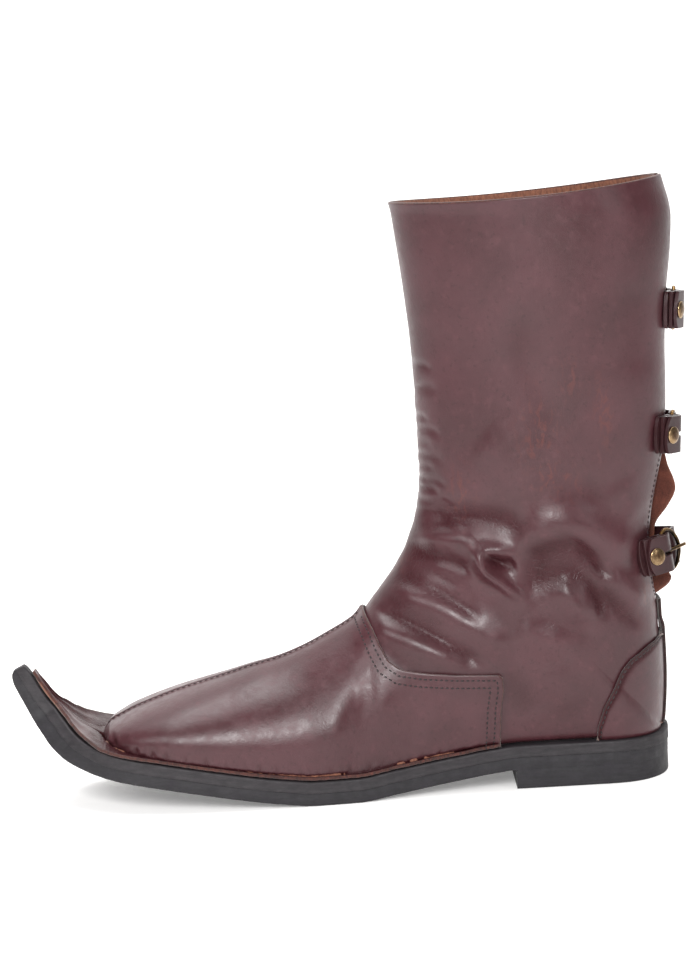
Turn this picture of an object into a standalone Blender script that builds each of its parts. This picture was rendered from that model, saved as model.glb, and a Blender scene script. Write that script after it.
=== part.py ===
# A left boot with a curled pointed toe, a slit back with a suede gusset, and three buckled straps.
# The origin is the middle of the heel's flat bottom. X runs from toe to heel, Y to the inner side, Z up.

import bmesh
import bpy
import numpy as np

for old in list(bpy.data.objects):
    bpy.data.objects.remove(old, do_unlink=True)

# Driving dimensions in metres
SOLE_LENGTH = 0.3320        # from the heel's rear to the outer end of the curled toe
BALL_WIDTH = 0.1010
HEEL_WIDTH = 0.0655
HEEL_LENGTH = 0.0795
HEEL_ROUND = 0.0318         # length over which the heel's outline rounds to its rear
HEEL_TAPER = 0.0008
SEAT_HEIGHT = 0.0220        # floor to the top of the midsole over the heel
TOE_RISE = 0.0656           # height of the sole's bottom at the toe's end
TOE_END_ROUND = 0.0038
MIDSOLE_THICKNESS = 0.0057
OUTSOLE_THICKNESS = 0.0063
EDGE_BEVEL = 0.0012
MIDSOLE_STEP = 0.0005       # the outsole's side stands back from the midsole's by this
GAP = 0.0003                # air between neighbouring pieces
LEDGE = 0.0055              # sole edge to the upper's outer face
INSTEP_REACH = 0.1512       # heel's rear to the instep point, along X
INSTEP_RISE = 0.0756        # midsole top to the instep point
ANKLE_LENGTH = 0.1196       # heel's rear to the front of the ankle
ANKLE_WIDTH = 0.0780
COLLAR_WIDTH = 0.0930
COLLAR_FLARE = 0.0082       # the collar's front lies this far before the ankle's front
BACK_REACH = 0.0112         # the calf's rearmost point lies this far behind the heel's rear
SHAFT_HEIGHT = 0.2980
UPPER_WALL = 0.0019
VAMP_THICKNESS = 0.0016
FLANGE_INSET = 0.0008       # sole edge to the vamp's out-turned edge
COUNTER_THICKNESS = 0.0012
BACKSTAY_THICKNESS = 0.0014
BACKSTAY_WIDTH = 0.0120
BACKSTAY_FLARE = 0.35       # share by which its top is wider
FACET_CLEARANCE = 0.0004    # more air under the vamp and over the sole, for facets that differ
STRIP_CLEARANCE = 0.0006    # the same under the backstay
INSOLE_THICKNESS = 0.0016
INSOLE_CLEARANCE = 0.0031
INSOLE_TAPER = 0.2          # share of its width that its front end loses
SLIT_START = 0.0835         # height of the slit's lower end
SLIT_WIDTH = 0.0290
GUSSET_THICKNESS = 0.0014
GUSSET_BULGE = 0.0072
GUSSET_CLEARANCE = 0.0026   # more air behind the quarters, for their facets
GUSSET_ROOM = 0.0070        # half width of the slit from which on the gusset swells out
GUSSET_MARGIN = 0.0036      # the gusset stays behind the quarters up to this far inside their edges
GUSSET_TUCK = 0.0070        # how far the gusset reaches behind each quarter's edge
COLLAR_DIP = 0.0030         # the collar's sides lie this much lower than its front and rear
STRAP_WIDTH = 0.0182
STRAP_THICKNESS = 0.0017
STRAP_GIRTH = 0.0400        # rear centre line to the riveted end on the inner side
CHAPE_LENGTH = 0.0125       # free end of the doubled strap to the hinge bar
TIP_CLIP = 0.0034           # length of the clipped corner of the strap's tip
LANDING = 0.55              # from the frame's point to where the strap lies on the boot, in strap widths
CHAPE_STEP = 0.0030         # the chape's rounded end shows this far before the strap tip on it
FRAME_HEIGHT = 0.0232
FRAME_LENGTH = 0.0172       # hinge bar to the frame's point
FRAME_RADIUS = 0.0011
PRONG_RADIUS = 0.0008
PRONG_REACH = 0.0022        # the prong's tip passes the frame's point by this
RIVET_RADIUS = 0.0045
FAR_RIVET_RADIUS = 0.0036
RIVET_HEIGHT = 0.0014
SLOT_REACH = 0.75           # the straps' slot for the prong ends here, as a share of FRAME_LENGTH
SLOT_HEIGHT = 0.0030        # height of the cut for it above the billet

# How finely the forms are divided
SOLE_STEPS = 50
TOE_STEPS = 16
FAN_STEPS = 11
SHAFT_STEPS = 15
GUSSET_STEPS = 24
COUNTER_COLUMNS = 6         # columns of the upper's facets that the counter lies on, on each side
WALL_STEPS = 10             # facets from the ridge down to the foot on each side
VAMP_END = 3.4              # rows of the form before its last heel row at which the vamp's wall ends
COUNTER_START = 3.4         # rows of the form after the last toe row at which the counter starts
COUNTER_END = 4.0           # and after the last heel row at which it ends
BACKSTAY_START = 0.2

HEEL_REAR = HEEL_LENGTH / 2
SOLE_STACK = OUTSOLE_THICKNESS + GAP + MIDSOLE_THICKNESS
HEEL_RISE = SEAT_HEIGHT - SOLE_STACK

# The sole's bottom line before the waist: distance from the heel's rear as a share of SOLE_LENGTH, height as
# a share of TOE_RISE, half widths to the outer and inner side as shares of BALL_WIDTH, and the outsole's
# thickness as a share of OUTSOLE_THICKNESS
FOREPART_ROWS = (
    # along, rise, outer, inner, thick
    (1.000, 1.000, 0.030, 0.030, 0.75),
    (0.979, 0.782, 0.044, 0.044, 0.83),
    (0.962, 0.625, 0.080, 0.080, 1.10),
    (0.950, 0.550, 0.130, 0.130, 1.16),
    (0.938, 0.480, 0.180, 0.182, 1.20),
    (0.914, 0.382, 0.248, 0.254, 1.18),
    (0.890, 0.327, 0.300, 0.310, 1.10),
    (0.865, 0.286, 0.350, 0.363, 1.02),
    (0.829, 0.243, 0.399, 0.422, 0.98),
    (0.768, 0.187, 0.436, 0.482, 1.00),
    (0.712, 0.136, 0.453, 0.522, 1.00),
    (0.653, 0.080, 0.458, 0.542, 1.00),
    (0.594, 0.031, 0.455, 0.540, 1.00),
    (0.536, 0.000, 0.448, 0.518, 1.00),
    (0.478, 0.000, 0.434, 0.464, 1.00),
)

# The same behind the ball: height as a share of the heel's rise, half widths as shares of HEEL_WIDTH
BACKPART_ROWS = (
    # along, rise, outer, inner
    (0.416, 0.250, 0.618, 0.600),
    (0.341, 0.577, 0.557, 0.489),
    (0.266, 0.897, 0.524, 0.452),
    (0.240, 0.985, 0.521, 0.452),
    (0.210, 1.000, 0.521, 0.460),
    (0.120, 1.000, 0.519, 0.481),
    (0.000, 1.000, 0.505, 0.478),
)

# Cross sections of the upper's outer face. Each lies in a plane that holds the Y direction, from a point of
# the ridge down to a point of the sole or of the back. "widest" is the share of that line below the widest
# place, "crown" and "under" are the roundness above and below it, 2 being elliptic and more being squarer.
# Toe and instep: place of the section as a share of SOLE_LENGTH, ridge height as a share of INSTEP_RISE,
# half width at the foot as a share of the sole's, swell of the sides over the foot
TOE_ROWS = (
    # place, above, foot, swell, widest, crown, under
    (0.8530, 0.012, 0.12, 0.00, 0.30, 2.4, 2.6),
    (0.8495, 0.062, 0.36, 0.01, 0.36, 2.3, 2.6),
    (0.8435, 0.102, 0.56, 0.02, 0.38, 2.2, 2.6),
    (0.8300, 0.147, 0.77, 0.03, 0.38, 2.2, 2.6),
    (0.8120, 0.202, 0.89, 0.04, 0.36, 2.1, 2.6),
    (0.7750, 0.290, 0.97, 0.05, 0.34, 2.0, 2.6),
    (0.7380, 0.372, 1.00, 0.05, 0.32, 1.95, 2.6),
    (0.7010, 0.446, 1.00, 0.05, 0.30, 1.90, 2.6),
    (0.6640, 0.520, 1.00, 0.05, 0.28, 1.86, 2.6),
    (0.6270, 0.596, 1.00, 0.05, 0.27, 1.83, 2.6),
    (0.5890, 0.664, 1.00, 0.05, 0.26, 1.80, 2.6),
    (0.5510, 0.744, 1.00, 0.05, 0.26, 1.80, 2.6),
    (0.5120, 0.828, 1.00, 0.05, 0.27, 1.82, 2.6),
)

# Waist and heel: foot of the section as a share of SOLE_LENGTH, ridge between the instep point (0) and the
# front of the ankle (1), its height as a share of the rise from instep to collar, half width as a share of
# ANKLE_WIDTH
FAN_ROWS = (
    # place, forward, above, outer, inner, widest, crown, under
    (0.4700, -0.085, -0.020, 0.490, 0.505, 0.28, 1.85, 2.5),
    (0.4280, 0.070, 0.010, 0.468, 0.470, 0.30, 1.90, 2.4),
    (0.3550, 0.230, 0.042, 0.450, 0.445, 0.33, 1.95, 2.3),
    (0.2650, 0.551, 0.105, 0.445, 0.435, 0.36, 2.00, 2.2),
    (0.1750, 0.810, 0.182, 0.450, 0.440, 0.38, 2.00, 2.1),
    (0.1050, 0.935, 0.243, 0.462, 0.452, 0.40, 2.00, 2.1),
    (0.0600, 0.975, 0.282, 0.472, 0.462, 0.41, 2.00, 2.1),
    (0.0300, 0.992, 0.308, 0.478, 0.470, 0.42, 2.00, 2.1),
    (0.0000, 1.000, 0.330, 0.482, 0.474, 0.42, 2.00, 2.1),
)

# Back and shaft: back point behind the heel's rear as a share of BACK_REACH and its height between seat (0)
# and collar (1), front point before the ankle's front as a share of COLLAR_FLARE and its height as before,
# half width as a share of COLLAR_WIDTH
SHAFT_ROWS = (
    # reach, rise, flare, above, outer, inner, widest, crown, under
    (-0.310, 0.045, 0.00, 0.352, 0.408, 0.402, 0.42, 2.00, 2.10),
    (-0.240, 0.115, -0.01, 0.395, 0.414, 0.408, 0.42, 2.00, 2.15),
    (-0.290, 0.223, 0.00, 0.455, 0.418, 0.414, 0.43, 2.00, 2.15),
    (-0.350, 0.283, 0.01, 0.495, 0.418, 0.416, 0.44, 2.00, 2.15),
    (-0.370, 0.339, 0.03, 0.535, 0.418, 0.418, 0.45, 2.00, 2.10),
    (-0.160, 0.412, 0.06, 0.590, 0.422, 0.422, 0.46, 2.00, 2.10),
    (0.110, 0.467, 0.10, 0.630, 0.428, 0.428, 0.46, 2.00, 2.10),
    (0.330, 0.521, 0.17, 0.675, 0.436, 0.436, 0.46, 2.00, 2.10),
    (0.450, 0.594, 0.28, 0.724, 0.448, 0.448, 0.46, 2.00, 2.15),
    (0.490, 0.685, 0.42, 0.785, 0.462, 0.462, 0.46, 2.00, 2.20),
    (0.630, 0.790, 0.60, 0.850, 0.478, 0.478, 0.46, 2.00, 2.25),
    (0.870, 0.870, 0.76, 0.905, 0.488, 0.488, 0.46, 2.00, 2.25),
    (0.960, 0.930, 0.88, 0.945, 0.494, 0.494, 0.46, 2.00, 2.20),
    (0.600, 1.000, 1.00, 0.966, 0.500, 0.500, 0.46, 2.00, 2.10),
)

# The slit's opening and the gusset's bulge, by height between the slit's lower end (0) and the collar (1)
SLIT_ROWS = (
    # rise, half_width
    (0.00, 0.04),
    (0.02, 0.28),
    (0.05, 0.45),
    (0.10, 0.52),
    (0.18, 0.52),
    (0.30, 0.46),
    (0.40, 0.34),
    (0.52, 0.24),
    (0.75, 0.20),
    (1.00, 0.18),
)
BULGE_ROWS = (
    # rise, share of GUSSET_BULGE
    (0.00, 0.00),
    (0.025, 0.90),
    (0.055, 1.00),
    (0.085, 0.60),
    (0.13, 0.00),
    (0.20, 0.20),
    (0.27, 1.30),
    (0.33, 0.60),
    (0.38, 0.00),
    (1.00, 0.00),
)

# The closures: height as a share of the slit, arc from the rear centre line to the chape's free end as a
# share of STRAP_WIDTH, the bar's extra distance from the boot as a share of STRAP_THICKNESS, and the slopes
# of the strap towards the rear and of the frame away from the boot
CLOSURE_ROWS = (
    # rise, chape_end, proud, slope, lean
    (0.133, 1.66, 1.3, 0.16, 0.16),
    (0.408, 1.38, 0.0, 0.03, -0.08),
    (0.692, 0.98, 0.1, 0.00, 0.04),
)

# The billet's way from the bar down through the frame: along as a share of FRAME_LENGTH, and height as shares
# of its height over the bar and of its depth under the frame
DROP_ROWS = (
    # along, over, under
    (0.26, 0.62, 0.00),
    (0.40, 0.16, 0.00),
    (0.52, 0.00, 0.55),
    (0.62, 0.00, 0.98),
    (0.80, 0.00, 1.00),
    (1.00, 0.00, 1.00),
)

# The frame's outline from its bar to its point, in shares of FRAME_LENGTH and of half its height
FRAME_ROWS = (
    # along, up
    (0.00, -1.00),
    (0.00, 1.00),
    (0.16, 1.00),
    (0.58, 1.00),
    (0.86, 0.55),
    (1.00, 0.00),
    (0.86, -0.55),
    (0.58, -1.00),
    (0.16, -1.00),
)

# Side outlines of the overlays, in shares: along from the heel's rear of SOLE_LENGTH, up of INSTEP_RISE
VAMP_EDGE = (
    # along, up
    (0.4660, 1.300),
    (0.4600, 1.215),
    (0.4520, 1.170),
    (0.4420, 1.080),
    (0.4330, 0.980),
    (0.4230, 0.892),
    (0.4045, 0.836),
    (0.3720, 0.810),
    (0.3230, 0.790),
    (0.2560, 0.776),
    (0.2550, 0.670),
    (0.2600, 0.550),
    (0.2670, 0.160),
)
COUNTER_EDGE = (
    # along, up
    (0.1180, 0.160),
    (0.1150, 0.386),
    (0.1050, 0.521),
    (0.0900, 0.635),
    (0.0770, 0.750),
    (0.0630, 0.815),
    (0.0340, 0.885),
    (0.0000, 0.930),
    (-0.0400, 0.960),
)

# Finishes: sRGB colour, roughness, metallic
FINISHES = {
    "brown_leather": ((0.40, 0.28, 0.30), 0.42, 0.0),
    "dark_leather": ((0.30, 0.21, 0.23), 0.50, 0.0),
    "black_sole": ((0.20, 0.18, 0.21), 0.62, 0.0),
    "grey_midsole": ((0.33, 0.31, 0.34), 0.66, 0.0),
    "rust_suede": ((0.48, 0.25, 0.20), 0.90, 0.0),
    "tan_lining": ((0.60, 0.42, 0.30), 0.75, 0.0),
    "old_brass": ((0.54, 0.42, 0.28), 0.38, 1.0),
}


def linear(channel):
    return channel / 12.92 if channel <= 0.04045 else ((channel + 0.055) / 1.055) ** 2.4


def finish(name):
    material = bpy.data.materials.get(name)
    if material is None:
        colour, roughness, metallic = FINISHES[name]
        material = bpy.data.materials.new(name)
        material.use_nodes = True
        shader = material.node_tree.nodes["Principled BSDF"]
        shader.inputs["Base Color"].default_value = [linear(value) for value in colour] + [1.0]
        shader.inputs["Roughness"].default_value = roughness
        shader.inputs["Metallic"].default_value = metallic
    return material


def smooth(keys, values, at):
    # Cubic curve through a table's column that never overshoots its rows
    keys = np.asarray(keys, float)
    values = np.asarray(values, float)
    at = np.clip(at, keys[0], keys[-1])
    step = np.diff(keys)
    slope = np.diff(values) / step
    tangent = np.zeros_like(values)
    before, after = slope[:-1], slope[1:]
    same = before * after > 0
    near = 2 * step[1:] + step[:-1]
    far = step[1:] + 2 * step[:-1]
    safe_before = np.where(same, before, 1.0)
    safe_after = np.where(same, after, 1.0)
    tangent[1:-1] = np.where(same, (near + far) / (near / safe_before + far / safe_after), 0.0)
    tangent[0] = slope[0]
    tangent[-1] = slope[-1]
    row = np.clip(np.searchsorted(keys, at, side="right") - 1, 0, len(step) - 1)
    u = (at - keys[row]) / step[row]
    return ((1 + 2 * u) * (1 - u) ** 2 * values[row] + u * (1 - u) ** 2 * step[row] * tangent[row]
            + u ** 2 * (3 - 2 * u) * values[row + 1] + u ** 2 * (u - 1) * step[row] * tangent[row + 1])


# Sole: bottom line, outline and thickness along the shoe

def sole_rows():
    # All rows of the sole from toe to heel as x, z, outer, inner and outsole thickness
    front = np.array(FOREPART_ROWS)
    back = np.array(BACKPART_ROWS)
    x = HEEL_REAR - SOLE_LENGTH * np.concatenate([front[:, 0], back[:, 0]])
    z = np.concatenate([TOE_RISE * front[:, 1], HEEL_RISE * back[:, 1]])
    outer = np.concatenate([BALL_WIDTH * front[:, 2], HEEL_WIDTH * back[:, 2]])
    inner = np.concatenate([BALL_WIDTH * front[:, 3], HEEL_WIDTH * back[:, 3]])
    thick = OUTSOLE_THICKNESS * np.concatenate([front[:, 4], np.ones(len(back))])
    return x, z, outer, inner, thick


SOLE_X, SOLE_Z, SOLE_OUTER, SOLE_INNER, SOLE_THICK = sole_rows()


def rear_round(x, inset):
    # Share of the half width that is left where the heel's outline rounds to its rear
    length = HEEL_ROUND - inset
    past = np.clip((x - (HEEL_REAR - HEEL_ROUND)) / length, 0, 1)
    return (1 - past ** 2.3) ** (1 / 2.2)


def half_widths(x, inset=0.0):
    # Half widths of the sole's outline at x, drawn in by an inset all round
    scale = rear_round(x, inset)
    outer = (smooth(SOLE_X, SOLE_OUTER, x) - inset) * scale
    inner = (smooth(SOLE_X, SOLE_INNER, x) - inset) * scale
    return outer, inner


def sole_line(x):
    # Bottom point, unit normal up and outsole thickness of the sole at x
    z = smooth(SOLE_X, SOLE_Z, x)
    reach = 1e-4
    high = np.minimum(x + reach, HEEL_REAR)
    low = np.maximum(x - reach, SOLE_X[0])
    slope = (smooth(SOLE_X, SOLE_Z, high) - smooth(SOLE_X, SOLE_Z, low)) / (high - low)
    length = np.sqrt(1 + slope ** 2)
    return z, -slope / length, 1 / length, smooth(SOLE_X, SOLE_THICK, x)


def sole_top(x):
    # Height of the midsole's top at x, on its own facets one stack above the bottom line
    along = sole_stations()
    z, normal_x, normal_z, thick = sole_line(along)
    lift = thick + GAP + MIDSOLE_THICKNESS
    return np.interp(x, along + normal_x * lift, z + normal_z * lift)


def sole_stations():
    # Places along the bottom line, closer together at the curled toe and at the heel's round rear
    flat = np.linspace(SOLE_X[0], HEEL_REAR - HEEL_ROUND, 400)
    z = smooth(SOLE_X, SOLE_Z, flat)
    run = np.concatenate([[0], np.cumsum(np.hypot(np.diff(flat), np.diff(z)))])
    count = SOLE_STEPS - 10
    body = np.interp(np.linspace(0, run[-1], count) ** 1.12 / run[-1] ** 0.12, run, flat)
    turn = np.linspace(0, np.pi / 2 * 0.93, 10)[1:]
    rear = HEEL_REAR - HEEL_ROUND + HEEL_ROUND * np.sin(turn)
    return np.concatenate([body, rear])


def make_object(name, points, faces, material):
    mesh = bpy.data.meshes.new(name)
    mesh.from_pydata([tuple(point) for point in points], [], faces)
    item = bpy.data.objects.new(name, mesh)
    bpy.context.collection.objects.link(item)
    shape = bmesh.new()
    shape.from_mesh(mesh)
    bmesh.ops.remove_doubles(shape, verts=shape.verts, dist=1e-6)
    bmesh.ops.recalc_face_normals(shape, faces=shape.faces)
    shape.to_mesh(mesh)
    shape.free()
    mesh.materials.append(finish(material))
    mesh.shade_smooth()
    mesh.set_sharp_from_angle(angle=np.radians(35))
    return item


def bridge_rings(rings):
    # Faces between rings of equal length, with both ends closed
    count = len(rings[0])
    points = [point for ring in rings for point in ring]
    faces = [tuple(range(count - 1, -1, -1))]
    for ring in range(len(rings) - 1):
        start = ring * count
        for k in range(count):
            after = (k + 1) % count
            faces.append((start + k, start + after, start + count + after, start + count + k))
    last = (len(rings) - 1) * count
    faces.append(tuple(range(last, last + count)))
    return points, faces


def sole_layer(name, lower, upper, inset, bevel, material):
    # A layer of the sole between two distances from the bottom line
    rings = []
    for x in sole_stations():
        z, normal_x, normal_z, thick = sole_line(x)
        outer, inner = half_widths(x, inset)
        from_end = np.clip(1 - (x - SOLE_X[0]) / TOE_END_ROUND, 0, 1)
        round_off = TOE_END_ROUND * (1 - np.sqrt(1 - from_end ** 2 * 0.98))
        low = lower(thick) + (round_off if bevel else 0)
        high = upper(thick) - (0 if bevel else round_off * 0.45)
        ring = []
        for y, distance in ((-outer + bevel, low), (inner - bevel, low), (inner, low + bevel),
                            (inner, high), (-outer, high), (-outer, low + bevel)):
            ring.append((x + normal_x * distance, y, z + normal_z * distance))
        if not bevel:
            ring = ring[1:2] + ring[3:5] + ring[0:1]
        rings.append(ring)
    points, faces = bridge_rings(rings)
    return make_object(name, points, faces, material)


def make_sole():
    sole_layer("outsole", lambda thick: 0.0, lambda thick: thick, MIDSOLE_STEP, EDGE_BEVEL, "black_sole")
    sole_layer("midsole", lambda thick: thick + GAP, lambda thick: thick + GAP + MIDSOLE_THICKNESS, 0.0, 0.0,
               "grey_midsole")


def make_heel():
    # The block under the heel seat, its breast upright, its sides drawn in a little towards the floor
    breast = HEEL_REAR - HEEL_LENGTH
    turn = np.linspace(0, np.pi / 2, 12)
    side = np.concatenate([np.linspace(breast, HEEL_REAR - HEEL_ROUND, 6),
                           HEEL_REAR - HEEL_ROUND + (HEEL_ROUND - MIDSOLE_STEP) * np.sin(turn[1:])])
    rings = []
    for share in (0.0, 1.0):
        inset = MIDSOLE_STEP + HEEL_TAPER * (1 - share)
        outer, inner = half_widths(side, inset)
        shrink = 1 - (HEEL_TAPER * (1 - share)) / HEEL_LENGTH
        x = HEEL_REAR - MIDSOLE_STEP - (HEEL_REAR - MIDSOLE_STEP - side) * shrink - HEEL_TAPER * (1 - share)
        z = sole_line(side)[0] * share - GAP * share
        lower = [(x[k], -outer[k], z[k]) for k in range(len(side))]
        upper = [(x[k], inner[k], z[k]) for k in range(len(side) - 2, -1, -1)]
        rings.append(lower + upper)
    points, faces = bridge_rings(rings)
    make_object("heel", points, faces, "black_sole")


def make_insole():
    # A thin sock on the midsole, inside the upper's foot
    inset = LEDGE + UPPER_WALL + INSOLE_CLEARANCE
    front = HEEL_REAR - SOLE_LENGTH * TOE_ROWS[4][0]
    turn = np.linspace(0, np.pi / 2 * 0.9, 8)
    x = np.concatenate([np.linspace(front, HEEL_REAR - HEEL_ROUND, 18),
                        HEEL_REAR - HEEL_ROUND + (HEEL_ROUND - inset) * np.sin(turn[1:])])
    outer, inner = half_widths(x, inset)
    places = HEEL_REAR - SOLE_LENGTH * np.array([row[0] for row in TOE_ROWS])
    foot = smooth(places, [row[2] for row in TOE_ROWS], x)
    foot = foot * (1 - INSOLE_TAPER * (1 - np.clip((x - front) / (SOLE_LENGTH * 0.04), 0, 1) ** 0.5))
    z = sole_top(x) + GAP
    rings = []
    for k in range(len(x)):
        left, right = -outer[k] * foot[k], inner[k] * foot[k]
        low, high = z[k], z[k] + INSOLE_THICKNESS
        rings.append([(x[k], left, low), (x[k], right, low), (x[k], right, high), (x[k], left, high)])
    points, faces = bridge_rings(rings)
    make_object("insole", points, faces, "tan_lining")


# The upper's form: sections from the toe to the collar

def section_rows():
    # Every section as base x, base z, ridge x, ridge z, outer, inner, widest, crown, under
    toe_x = HEEL_REAR - SOLE_LENGTH * np.array([row[0] for row in TOE_ROWS])
    instep_x = HEEL_REAR - INSTEP_REACH
    instep_z = float(sole_top(instep_x)) + INSTEP_RISE
    ankle_x = HEEL_REAR - ANKLE_LENGTH
    rise = SHAFT_HEIGHT - instep_z
    rows = []
    for (_, above, foot, swell, widest, crown, under), x in zip(TOE_ROWS, toe_x):
        outer, inner = half_widths(x, LEDGE)
        top = float(sole_top(x)) + INSTEP_RISE * above
        rows.append((x, 0, x, top, outer * foot * (1 + swell), inner * foot * (1 + swell), widest, crown,
                     under, foot))
    rear_x = HEEL_REAR - LEDGE
    for place, forward, above, outer, inner, widest, crown, under in FAN_ROWS:
        base_x = rear_x - (SOLE_LENGTH - LEDGE) * place
        ridge_x = instep_x + (ankle_x - instep_x) * forward
        rows.append((base_x, 0, ridge_x, instep_z + rise * above, ANKLE_WIDTH * outer, ANKLE_WIDTH * inner,
                     widest, crown, under, 1.0))
    for reach, lift, flare, above, outer, inner, widest, crown, under in SHAFT_ROWS:
        base_x = HEEL_REAR + BACK_REACH * reach
        base_z = SEAT_HEIGHT + (SHAFT_HEIGHT - SEAT_HEIGHT) * lift
        ridge_x = ankle_x - COLLAR_FLARE * flare
        rows.append((base_x, base_z, ridge_x, instep_z + rise * above, COLLAR_WIDTH * outer,
                     COLLAR_WIDTH * inner, widest, crown, under, 1.0))
    return np.array(rows)


FORM = section_rows()
TOE_LAST = len(TOE_ROWS) - 1
FAN_LAST = TOE_LAST + len(FAN_ROWS)
SHAFT_LAST = len(FORM) - 1


def section(place, shares):
    # Points of the section at a row number, at shares of the half girth from ridge (0) to foot or back (1);
    # negative shares are on the outer side
    row = [float(smooth(np.arange(len(FORM)), FORM[:, k], place)) for k in range(FORM.shape[1])]
    base_x, base_z, ridge_x, ridge_z, outer, inner, widest, crown, under, foot = row
    foot_outer = foot_inner = 0.0
    if place <= FAN_LAST:
        base_z = float(sole_top(base_x)) + GAP + FACET_CLEARANCE
        foot_outer, foot_inner = (float(width) * foot for width in half_widths(base_x, LEDGE))
    points = np.zeros((len(shares), 3))
    dip = COLLAR_DIP * np.clip(place - (len(FORM) - 2), 0, 1)
    turn = np.linspace(0, np.pi / 2, 90)
    for side, width, foot_width in ((-1, outer, foot_outer), (1, inner, foot_inner)):
        width = max(width, foot_width * 1.001)
        high_y = width * np.sin(turn) ** (2 / crown)
        high_h = widest + (1 - widest) * np.cos(turn) ** (2 / crown)
        low_y = foot_width + (width - foot_width) * np.cos(turn) ** (2 / under)
        low_h = widest - widest * np.sin(turn) ** (2 / under)
        y = np.concatenate([high_y, low_y[1:]])
        h = np.concatenate([high_h, low_h[1:]])
        reach = np.hypot(ridge_x - base_x, ridge_z - base_z)
        run = np.concatenate([[0], np.cumsum(np.hypot(np.diff(y), np.diff(h) * reach))])
        mine = shares * side > 0 if side > 0 else shares <= 0
        at = np.abs(shares[mine]) * run[-1]
        level = np.interp(at, run, h)
        points[mine, 0] = base_x + (ridge_x - base_x) * level
        points[mine, 1] = side * np.interp(at, run, y)
        points[mine, 2] = base_z + (ridge_z - base_z) * level - dip * 4 * level * (1 - level)
    return points


def slit_share(place):
    # Share of the half girth that is left beside the slit
    row = [float(smooth(np.arange(len(FORM)), FORM[:, k], place)) for k in range(FORM.shape[1])]
    rise = (row[1] - SLIT_START) / (SHAFT_HEIGHT - SLIT_START)
    if place <= FAN_LAST or rise <= 0:
        return 1.0
    table = np.array(SLIT_ROWS)
    half = SLIT_WIDTH * float(smooth(table[:, 0], table[:, 1], rise))
    girth = section_girth(place)
    return 1.0 - half / girth


def section_girth(place):
    points = section(place, np.linspace(0, 1, 60))
    return float(np.sum(np.linalg.norm(np.diff(points, axis=0), axis=1)))


def form_places(first, last):
    toe = np.linspace(0, TOE_LAST, TOE_STEPS)
    fan = np.linspace(TOE_LAST, FAN_LAST, FAN_STEPS)[1:]
    shaft = np.linspace(FAN_LAST, SHAFT_LAST, SHAFT_STEPS)[1:]
    places = np.concatenate([toe, fan, shaft])
    inside = places[(places > first + 0.05) & (places < last - 0.05)]
    return np.concatenate([[first], inside, [last]])


def sheet(places, shares, slit=True):
    # Grid of the upper's outer face
    rows = []
    for place in places:
        limit = slit_share(place) if slit else 1.0
        rows.append(section(place, shares * limit))
    return np.array(rows)


def grid_faces(rows, columns):
    # Triangles with the same diagonal everywhere, so that layers keep their distance
    faces = []
    for i in range(rows - 1):
        for j in range(columns - 1):
            corner = i * columns + j
            across = corner + columns + 1
            faces.append((corner, corner + columns, across))
            faces.append((corner, across, corner + 1))
    return faces


def above_sole(points):
    # The points as an array, none of them lower than the air over the midsole
    points = np.array(points)
    points[:, 2] = np.maximum(points[:, 2], sole_top(points[:, 0]) + GAP + FACET_CLEARANCE)
    return points


def thicken(name, grids, lift, thickness, material):
    # A wall between the grids moved outwards by lift and by lift plus thickness; grids that meet are joined
    points, faces = [], []
    for grid in grids:
        start = len(points)
        points += [tuple(point) for point in grid.reshape(-1, 3)]
        faces += [tuple(start + k for k in face) for face in grid_faces(*grid.shape[:2])]
    mesh = bpy.data.meshes.new(name)
    mesh.from_pydata(points, [], faces)
    shape = bmesh.new()
    shape.from_mesh(mesh)
    bmesh.ops.remove_doubles(shape, verts=shape.verts, dist=2e-5)
    shape.normal_update()
    shape.verts.index_update()
    low = above_sole([vert.co + vert.normal * lift for vert in shape.verts])
    high = above_sole([vert.co + vert.normal * (lift + thickness) for vert in shape.verts])
    count = len(low)
    faces = []
    for face in shape.faces:
        loop = [vert.index for vert in face.verts]
        faces.append(tuple(count + k for k in loop))
        faces.append(tuple(reversed(loop)))
    for edge in shape.edges:
        if len(edge.link_faces) == 1:
            first, second = edge.verts[0].index, edge.verts[1].index
            faces.append((first, second, count + second, count + first))
    shape.free()
    bpy.data.meshes.remove(mesh)
    return make_object(name, np.concatenate([low, high]), faces, material)


def both_sides(count):
    side = np.linspace(0, 1, count + 1)
    return np.concatenate([-side[:0:-1], side])


def make_upper():
    grid = sheet(form_places(0, SHAFT_LAST), both_sides(WALL_STEPS))
    thicken("upper", [grid], -UPPER_WALL, UPPER_WALL, "brown_leather")


# Overlays, cut between two larger forms of the upper's outer face

def side_cutter(name, outline):
    # A wide prism with a side outline, given in shares of SOLE_LENGTH and INSTEP_RISE
    side = [(HEEL_REAR - SOLE_LENGTH * along, INSTEP_RISE * up) for along, up in outline]
    rings = [[(x, y, z) for x, z in side] for y in (-BALL_WIDTH, BALL_WIDTH)]
    points, faces = bridge_rings(rings)
    cutter = make_object(name, points, faces, "dark_leather")
    cutter.hide_render = True
    cutter.display_type = "WIRE"
    return cutter


def keep_inside(item, cutter, operation="INTERSECT"):
    cut = item.modifiers.new("outline", "BOOLEAN")
    cut.operation = operation
    cut.solver = "EXACT"
    cut.object = cutter


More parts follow.
